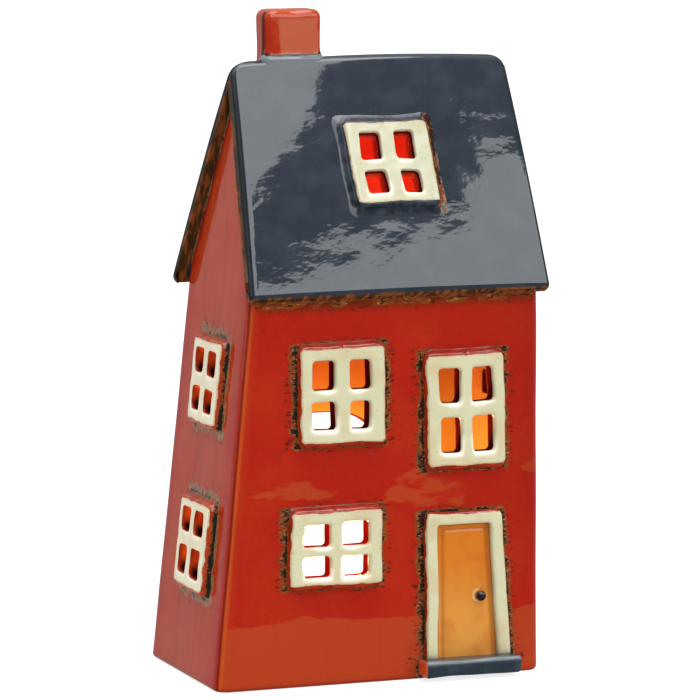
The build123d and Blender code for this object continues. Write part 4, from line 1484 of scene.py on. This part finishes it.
def door_panel():
    """Grid over the opening: the height has a rounded sinking along the edge
    and a raised field inside a shallow border."""
    u, v = np.meshgrid(np.linspace(0, 1, 44), np.linspace(0, 1, 80))
    foot, top = LEG_FOOT + 0.3, DOOR_TOP - BAND + PANEL_TUCK
    z = foot + (top - foot) * v
    left = DOOR_LEFT + BAND - PANEL_TUCK
    right = DOOR_RIGHT - BAND + PANEL_TUCK + DOOR_FLARE * (1 - z / DOOR_TOP)
    x = left + (right - left) * u
    edge = np.minimum(np.minimum(x - left, right - x), top - z) - PANEL_TUCK
    field = np.clip((edge - 1.2) / 1.8, 0, 1)
    field = field * field * (3 - 2 * field)
    hollow = np.exp(-(((edge - 1.9) / 0.55) ** 2))
    flat = np.stack([x, z], -1)
    height = PANEL_RELIEF - 0.55 + 0.34 * field - 0.10 * hollow + 0.10 * waves(flat, 20.0, 81)
    front = in_space(flat, height, "front")
    back = in_space(flat, np.full(height.shape, -FRAME_SINK), "front")
    n, m = height.shape
    rim = np.concatenate([np.arange(m), (np.arange(1, n) * m) + m - 1,
                          (n - 1) * m + np.arange(m - 1)[::-1], np.arange(1, n - 1)[::-1] * m])
    skirt = np.stack([rim, np.roll(rim, -1), np.roll(rim, -1) + n * m, rim + n * m], -1)
    quads = np.concatenate([grid_quads(n, m), grid_quads(n, m, first=n * m)[:, ::-1], skirt[:, ::-1]])
    hollow = np.concatenate([hollow, 0 * hollow])
    points = np.concatenate([front.reshape(-1, 3), back.reshape(-1, 3)])
    shade = np.clip(1.4 - (right - x - PANEL_TUCK) / 1.6, 0, 1)
    return points, quads, {"groove": hollow, "border": np.concatenate([edge, 0 * edge]),
                           "shade": np.concatenate([shade, 0 * shade])}


def ochre_finish():
    """Ochre paler at the foot, brown in the groove and edges, painted shade by the right side and a
    painted highlight crescent left of the knob.
    """
    finish, tree, shader = new_finish("ochre_glaze", 0.14)
    height = axis(tree, 2)
    pale = ramp(tree, height, 0.044, 0.014)
    colour = layer(tree, pale, OCHRE, PALE_OCHRE)
    clouds = ramp(tree, mottle(tree, 8.0, 3.0), 0.48, 0.7)
    colour = layer(tree, clouds, colour, CLOUD_OCHRE, 0.4)
    colour = layer(tree, mark(tree, "groove"), colour, GROOVE_BROWN, 0.45)
    colour = layer(tree, mark(tree, "shade"), colour, SHADE_BROWN, 0.6)
    colour = layer(tree, ramp(tree, mark(tree, "border"), 0.7, 0.0), colour, BORDER_BROWN)
    place = node(tree, "TexCoord", out="Object")
    knob = tuple(in_space(np.array([KNOB_AT]), np.array([PANEL_RELIEF]), "front")[0] * MM)
    gap = node(tree, "VectorMath", {0: place, 1: knob}, out="Value", operation="DISTANCE")
    # Painted highlight crescent on the knob's left.
    rim = ramp(tree, axis(tree, 0), knob[0] + 0.5 * MM, knob[0] - 0.9 * MM)
    rim = times(tree, rim, between(tree, gap, 1.9, 2.5, 0.3))
    colour = layer(tree, rim, colour, KNOB_HIGHLIGHT_CREAM, 0.75)
    paint(tree, shader, colour)
    wet_bump(tree, shader, 0.10, times(tree, mottle(tree, 5.0, 2.0), 1.2))
    return finish


points, quads, marks = door_panel()
lay_piece("ochre_door", mesh_of("door_clay", points, quads, marks=marks, sharp=60.0),
          ochre_finish(), "house", "door_glaze", "door_panel")

# %% Door knob
KNOB_PROFILE = np.array([  # radius, height above the wall face, in mm
    (0.95, 0.6), (1.25, 1.15), (1.25, 1.32), (0.92, 1.55), (0.88, 1.85), (1.35, 2.15),
    (1.66, 2.55), (1.75, 3.0), (1.62, 3.45), (1.25, 3.85), (0.65, 4.06), (0.2, 4.1)])


def turned(profile, count, steps):
    """Profile of radius and height, smoothed by straight pieces, turned round
    an axis: rings of cos and sin times the radius."""
    far = np.concatenate([[0], np.cumsum(np.linalg.norm(np.diff(profile, axis=0), axis=1))])
    s = np.linspace(0, far[-1], steps)
    radius, height = (np.interp(s, far, profile[:, k]) for k in (0, 1))
    angle = np.linspace(0, 2 * np.pi, count, endpoint=False)
    ring = np.stack([np.cos(angle), np.sin(angle)], -1)
    return radius[:, None, None] * ring, np.repeat(height[:, None], count, 1)


flat, height = turned(KNOB_PROFILE, 36, 40)
knob_mesh = tube_mesh("knob_clay", in_space(flat + np.array(KNOB_AT), height, "front"),
                      {"collar": np.clip((1.5 - height) / 0.4, 0, 1)}, 50.0)


def knob_finish():
    """Black glaze with brown flecks, and a tan collar where the knob is set."""
    finish, tree, shader = new_finish("black_knob_glaze", 0.08)
    colour = layer(tree, ramp(tree, mottle(tree, 0.9, 2.0), 0.45, 0.7),
                   (0.006, 0.005, 0.005), (0.030, 0.016, 0.010))
    colour = layer(tree, mark(tree, "collar"), colour, (0.60, 0.36, 0.13))
    paint(tree, shader, colour)
    wet_bump(tree, shader, 0.03, mottle(tree, 1.2, 2.0))
    return finish


lay_piece("turned_knob", knob_mesh, knob_finish(), "house", "knob_glaze", "door_knob")

# %% Doorstep
STEP_RADIUS = 1.3
STEP_SLATE = (0.016, 0.026, 0.036)
STEP_BLUE = (0.030, 0.042, 0.054)
# Painted highlight: pale blue-grey along the step's top front edge.
STEP_HIGHLIGHT = (0.20, 0.23, 0.24)
STEP_RED = (0.46, 0.060, 0.014)


def doorstep():
    """Rounded rectangles in depth and height, carried across and pulled in at
    both ends."""
    low, high = STEP_LOW, STEP_HIGH
    loop = rounded_loop((low.y, low.z), (high.y, high.z), [STEP_RADIUS, 0.4, 0.4, STEP_RADIUS], 12)
    middle = np.array(((low.y + high.y) / 2, (low.z + high.z) / 2))
    ease = STEP_RADIUS * (1 - np.cos(np.linspace(0, np.pi / 2, 7)))
    x = np.concatenate([low.x + ease, np.linspace(low.x + STEP_RADIUS, high.x - STEP_RADIUS, 50)[1:-1],
                        high.x - ease[::-1]])
    half = np.array(((high.y - low.y) / 2, (high.z - low.z) / 2))
    inset = edge_drop(np.minimum(x - low.x, high.x - x), STEP_RADIUS)
    rings = middle + (loop - middle) * (1 - inset[:, None, None] / half)
    points = np.concatenate([np.broadcast_to(x[:, None, None], rings.shape[:2] + (1,)), rings], -1)
    calm = np.clip((high.y - points[..., 1] - 1.5) / 2, 0, 1)
    points[..., 2] += 0.22 * waves(points, 15.0, 91) * calm
    points[..., 1] += 0.25 * waves(points, 13.0, 92) * calm
    # Mark for the painted highlight on the top front edge.
    edge = np.exp(-((high.z - points[..., 2]) / 0.9) ** 2)
    edge = edge * np.exp(-((points[..., 1] - low.y) / 1.3) ** 2)
    end = np.clip(1.3 - (points[..., 0] - low.x) / 0.9, 0, 1)
    return points, {"edge": edge, "end": end}


def step_finish():
    """Slate with a painted highlight along its top front edge, and red at the left end."""
    finish, tree, shader = new_finish("slate_step_glaze", 0.12)
    colour = layer(tree, ramp(tree, mottle(tree, 6.0, 4.0), 0.4, 0.65),
                   STEP_SLATE, STEP_BLUE)
    # Painted highlight on the top front edge.
    colour = layer(tree, mark(tree, "edge"), colour, STEP_HIGHLIGHT)
    wander = plus(tree, mark(tree, "end"), less(tree, mottle(tree, 2.5, 3.0), 0.5))
    colour = layer(tree, ramp(tree, wander, 0.35, 0.6), colour, STEP_RED)
    paint(tree, shader, colour)
    wet_bump(tree, shader, 0.10, mottle(tree, 3.0, 3.0))
    return finish


lay_piece("glazed_doorstep", tube_mesh("step_clay", *doorstep(), 50.0), step_finish(),
          "house", "step_glaze", "doorstep")

# %% [markdown]
# ## Floor
# The floor is a plain slab whose solid is already right, so it keeps its own
# mesh and only gets a finish: the red glaze inside, and bare biscuit clay below,
# where a potter wipes the foot so that it does not stick in the kiln.

# %% Floor slab
FLOOR_RED = (0.42, 0.030, 0.008)
FLOOR_ORANGE = (0.62, 0.090, 0.018)
BISCUIT = (0.50, 0.30, 0.17)
BISCUIT_DARK = (0.38, 0.20, 0.10)


def floor_finish():
    """Red glaze above, bare biscuit within two millimetres of the table."""
    finish, tree, shader = new_finish("floor_glaze", 0.16)
    colour = layer(tree, ramp(tree, mottle(tree, 14.0, 3.0), 0.42, 0.66), FLOOR_RED,
                   FLOOR_ORANGE)
    height = axis(tree, 2)
    wander = times(tree, mottle(tree, 5.0, 3.0), 0.0016)
    bare = ramp(tree, plus(tree, height, wander), 0.0018, 0.0008)
    biscuit = layer(tree, ramp(tree, mottle(tree, 1.4, 3.0), 0.4, 0.7), BISCUIT, BISCUIT_DARK)
    colour = layer(tree, bare, colour, biscuit)
    paint(tree, shader, colour)
    rough = plus(tree, times(tree, bare, 0.65), 0.16)
    tree.links.new(rough, shader.inputs["Roughness"])
    wet_bump(tree, shader, 0.08, times(tree, mottle(tree, 6.0, 2.0), 1.2),
             times(tree, mottle(tree, 0.7, 2.0), 0.3))
    return finish


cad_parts["floor_slab"].data.materials.clear()
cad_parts["floor_slab"].data.materials.append(floor_finish())

# %% [markdown]
# ## Tealight
# A pressed aluminium cup with a fluted side and a rolled rim, filled with wax
# that climbs a little at the rim and dips round a short charred wick. Cup and
# wax are turned profiles; the flutes come from a cosine of the angle.

# %% Tealight
FLUTES = 44
FLUTE_DEPTH = 0.16
cup_low, cup_high = box_in_mm("tealight_cup")
wax_low, wax_high = box_in_mm("tealight_wax")
CUP_AT = (cup_low[:2] + cup_high[:2]) / 2
CUP_RADIUS = (wax_high[0] - wax_low[0]) / 2 + 0.25
RIM_RADIUS = (cup_high[0] - cup_low[0]) / 2
CUP_PROFILE = np.array([
    (0.4, 0.25), (9.0, 0.25), (9.6, 0.0), (15.8, 0.0), (CUP_RADIUS - 0.55, 0.35),
    (CUP_RADIUS - 0.1, 1.2), (CUP_RADIUS, 12.0), (CUP_RADIUS + 0.05, 13.2),
    (RIM_RADIUS - 0.12, 13.45), (RIM_RADIUS, 13.7),
    (RIM_RADIUS - 0.12, 13.95), (CUP_RADIUS - 0.15, 14.0), (CUP_RADIUS - 0.32, 13.6),
    (CUP_RADIUS - 0.32, 1.4), (CUP_RADIUS - 1.0, 0.6), (9.6, 0.35), (9.0, 0.55), (0.4, 0.55)])


def cup_shell():
    """The profile turned, with the outer side's radius waved by a cosine."""
    flat, height = turned(CUP_PROFILE, FLUTES * 6, 120)
    angle = np.linspace(0, 2 * np.pi, FLUTES * 6, endpoint=False)
    radius = np.linalg.norm(flat, axis=-1)
    side = np.clip((radius - CUP_RADIUS + 1.2) / 1.0, 0, 1) * np.clip((12.4 - height) / 0.8, 0, 1)
    side = side * np.clip(height / 1.2, 0, 1)
    flat = flat * (1 - (FLUTE_DEPTH * side * (0.5 + 0.5 * np.cos(FLUTES * angle))) / radius)[..., None]
    return np.concatenate([flat + CUP_AT, height[..., None] + cup_low[2]], -1)


def metal_finish():
    """Aluminium whose brushing varies both colour and roughness."""
    finish, tree, shader = new_finish("cup_aluminium", 0.28)
    shader.inputs["Metallic"].default_value = 1.0
    brushed = mottle(tree, 1.2, 3.0, (1.0, 1.0, 4.0))
    paint(tree, shader, layer(tree, brushed, (0.66, 0.66, 0.66), (0.86, 0.85, 0.84)))
    rough = plus(tree, times(tree, brushed, 0.25), 0.18)
    tree.links.new(rough, shader.inputs["Roughness"])
    wet_bump(tree, shader, 0.03, brushed)
    return finish


cup_metal = metal_finish()
lay_piece("fluted_cup", tube_mesh("cup_foil", cup_shell(), sharp=50.0), cup_metal,
          "tealight", "cup_metal", "tealight_cup")
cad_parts["wick_tab"].data.materials.clear()
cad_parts["wick_tab"].data.materials.append(cup_metal)

# %% Wax and wick
wax_height = wax_high[2] - wax_low[2]
WAX_RADIUS = (wax_high[0] - wax_low[0]) / 2
WAX_PROFILE = np.array([
    (0.5, 0.0), (WAX_RADIUS - 1.0, 0.0), (WAX_RADIUS - 0.3, 0.7), (WAX_RADIUS - 0.25, wax_height - 0.3),
    (WAX_RADIUS - 0.5, wax_height + 0.1), (WAX_RADIUS - 1.4, wax_height - 0.25),
    (WAX_RADIUS - 4.0, wax_height - 0.45), (6.0, wax_height - 0.5), (3.0, wax_height - 0.75),
    (1.6, wax_height - 0.8), (0.5, wax_height - 0.8)])
flat, height = turned(WAX_PROFILE, 96, 90)
wide = np.concatenate([flat, height[..., None]], -1)
height = height + 0.12 * waves(wide, 14.0, 101) * (height > wax_height - 1.2)
points = np.concatenate([flat + CUP_AT, height[..., None] + wax_low[2]], -1)
wax_mesh = tube_mesh("wax_cake", points, sharp=60.0)


def wax_finish():
    """White wax that lets a little light through."""
    finish, tree, shader = new_finish("white_wax", 0.38, 1.44)
    shader.inputs["Subsurface Weight"].default_value = 0.35
    shader.inputs["Subsurface Radius"].default_value = (0.004, 0.003, 0.002)
    shader.inputs["Subsurface Scale"].default_value = 1.0
    colour = layer(tree, mottle(tree, 5.0, 3.0), (0.86, 0.82, 0.74), (0.92, 0.90, 0.85))
    paint(tree, shader, colour)
    wet_bump(tree, shader, 0.06, mottle(tree, 2.5, 3.0))
    return finish


lay_piece("wax_fill", wax_mesh, wax_finish(), "tealight", "wax", "tealight_wax")

wick_low, wick_high = box_in_mm("wick")
WICK_RADIUS = (wick_high[0] - wick_low[0]) / 2
WICK_BEND = 0.7
rise = np.linspace(0, 1, 60)
angle = np.linspace(0, 2 * np.pi, 30, endpoint=False)
twist = 0.86 + 0.14 * np.cos(3 * (angle[None] - rise[:, None] * 14))
taper = WICK_RADIUS * np.clip((1.02 - rise) * 12, 0.35, 1)
lean = WICK_BEND * np.clip(rise - 0.55, 0, 1) ** 2 / 0.2
ring = np.stack([np.cos(angle), np.sin(angle)], -1)
flat = (taper[:, None] * twist)[..., None] * ring + np.stack([lean, 0 * lean], -1)[:, None]
height = np.repeat((wick_low[2] + (wick_high[2] - wick_low[2]) * rise)[:, None], 30, 1)
points = np.concatenate([flat + (wick_low[:2] + wick_high[:2]) / 2, height[..., None]], -1)
char = np.clip((rise[:, None] - 0.62) / 0.12, 0, 1) * np.ones((1, 30))
wick_mesh = tube_mesh("wick_braid", points, {"char": char}, 60.0)


def wick_finish():
    """Cotton, charred at the tip."""
    finish, tree, shader = new_finish("wick_cotton", 0.85)
    colour = layer(tree, mottle(tree, 0.5, 3.0), (0.80, 0.76, 0.66), (0.60, 0.55, 0.44))
    colour = layer(tree, mark(tree, "char"), colour, (0.016, 0.013, 0.011))
    paint(tree, shader, colour)
    wet_bump(tree, shader, 0.08, mottle(tree, 0.4, 3.0))
    return finish


lay_piece("braided_wick", wick_mesh, wick_finish(), "tealight", "wick_cotton", "wick")

# %% [markdown]
# ## Floor under the house and light
# The house stands on a white table in a soft white room. The table carries its
# own faint light, so shadows stay pale. The room is a world shader with a dark
# front, a bright back and two soft boxes that the roof mirrors. A warm light
# burns just above the wick.

# %% Stage
TABLE = 6.0
table_mesh = bpy.data.meshes.new("table")
table_mesh.from_pydata([(-TABLE, -TABLE, 0), (TABLE, -TABLE, 0), (TABLE, TABLE, 0), (-TABLE, TABLE, 0)],
                       [], [(0, 1, 2, 3)])
table = bpy.data.objects.new("table", table_mesh)
scene.collection.objects.link(table)
table.visible_glossy = False
finish, tree, shader = new_finish("white_table", 0.8)
shader.inputs["Base Color"].default_value = (0.30, 0.30, 0.30, 1)
shader.inputs["Specular IOR Level"].default_value = 0.0
shader.inputs["Emission Color"].default_value = (1, 1, 1, 1)
shader.inputs["Emission Strength"].default_value = 0.80
table_mesh.materials.append(finish)

# %% Room light
world = bpy.data.worlds.new("white_room")
scene.world = world
world.use_nodes = True
tree = world.node_tree
way = node(tree, "TexCoord", out="Generated")
BACK_GLOW, UPPER_GLOW, ROOM_GLOW = 0.28, 0.6, 0.12
BOX_EDGE = 0.005
LOW_BOX_FOOT, LOW_BOX_TOP, LOW_BOX_RISE = 0.27, 0.712, 0.36
LEFT_BOX_STEEP, LEFT_BOX_FLAT = (2.2, 0.100), (1.16, 0.575)
RIGHT_BOX_START, RIGHT_BOX_SLANT, RIGHT_BOX_TOP = 0.229, 0.45, 1.11
BOXES_WAY = (0.36, -0.72, 0.60)
BOX_GLOW = 2.95
CEILING_GLOW = 2.8
LEFT_FILL_WAY, LEFT_FILL_GLOW = (-0.85, 0.30, 0.50), 1.4


def facing_light(tree, direction, inner, outer):
    """1 within `inner` degrees of a direction, 0 beyond `outer` degrees."""
    aim = Vector(direction).normalized()
    cosine = node(tree, "VectorMath", {0: way, 1: tuple(aim)}, out=1, operation="DOT_PRODUCT")
    return ramp(tree, cosine, math.cos(math.radians(outer)), math.cos(math.radians(inner)))


def glow(tree, total, mask, strength):
    return plus(tree, total, times(tree, mask, strength))


side_way, back_way, height = (node(tree, "SeparateXYZ", {0: way}, out=k) for k in range(3))
total = times(tree, ramp(tree, back_way, -0.2, 0.6), BACK_GLOW)
total = glow(tree, total, ramp(tree, height, 0.55, 0.95), UPPER_GLOW)
total = glow(tree, total, facing_light(tree, (0, -0.1, 1), 22.0, 26.0), CEILING_GLOW)
forward = most(tree, times(tree, back_way, -1.0), 0.05)
u, v = maths(tree, "DIVIDE", side_way, forward), maths(tree, "DIVIDE", height, forward)


def beyond(tree, slope, start):
    """1 where v lies above the straight edge start + slope * u, 0 below it."""
    past = less(tree, v, times(tree, u, slope))
    return ramp(tree, past, start - BOX_EDGE, start + BOX_EDGE)


low_box = less(tree, beyond(tree, 0.0, LOW_BOX_FOOT), beyond(tree, LOW_BOX_RISE, LOW_BOX_TOP))
left_box = least(tree, beyond(tree, *LEFT_BOX_STEEP), beyond(tree, *LEFT_BOX_FLAT))
right_edge = less(tree, u, times(tree, v, RIGHT_BOX_SLANT))
right_box = ramp(tree, right_edge, RIGHT_BOX_START - BOX_EDGE, RIGHT_BOX_START + BOX_EDGE)
right_box = least(tree, right_box, less(tree, 1.0, beyond(tree, 0.0, RIGHT_BOX_TOP)))
right_box = least(tree, right_box, beyond(tree, 0.0, LOW_BOX_FOOT))
boxes = most(tree, most(tree, low_box, left_box), right_box)
boxes = times(tree, boxes, facing_light(tree, BOXES_WAY, 40.0, 43.0))
total = glow(tree, total, boxes, BOX_GLOW)
total = glow(tree, total, facing_light(tree, LEFT_FILL_WAY, 26.0, 32.0), LEFT_FILL_GLOW)
total = plus(tree, total, ROOM_GLOW)
rays = tree.nodes.new("ShaderNodeLightPath")
seen = layer(tree, rays.outputs["Is Camera Ray"], total, (1.0, 1.0, 1.0))
tree.links.new(seen, tree.nodes["Background"].inputs["Color"])

FLAME_WATTS, FLAME_RISE = 0.38, 0.012
flame = bpy.data.lights.new("tealight_glow", "POINT")
flame.energy = FLAME_WATTS
flame.color = (1.0, 0.62, 0.28)
flame.shadow_soft_size = 0.006
flame_object = bpy.data.objects.new("tealight_glow", flame)
flame_object.location = (CUP_AT[0] * MM, CUP_AT[1] * MM, wick_high[2] * MM + FLAME_RISE)
scene.collection.objects.link(flame_object)
print("flame light at", tuple(round(v, 4) for v in flame_object.location))

# %% Update the view layer
bpy.context.view_layer.update()
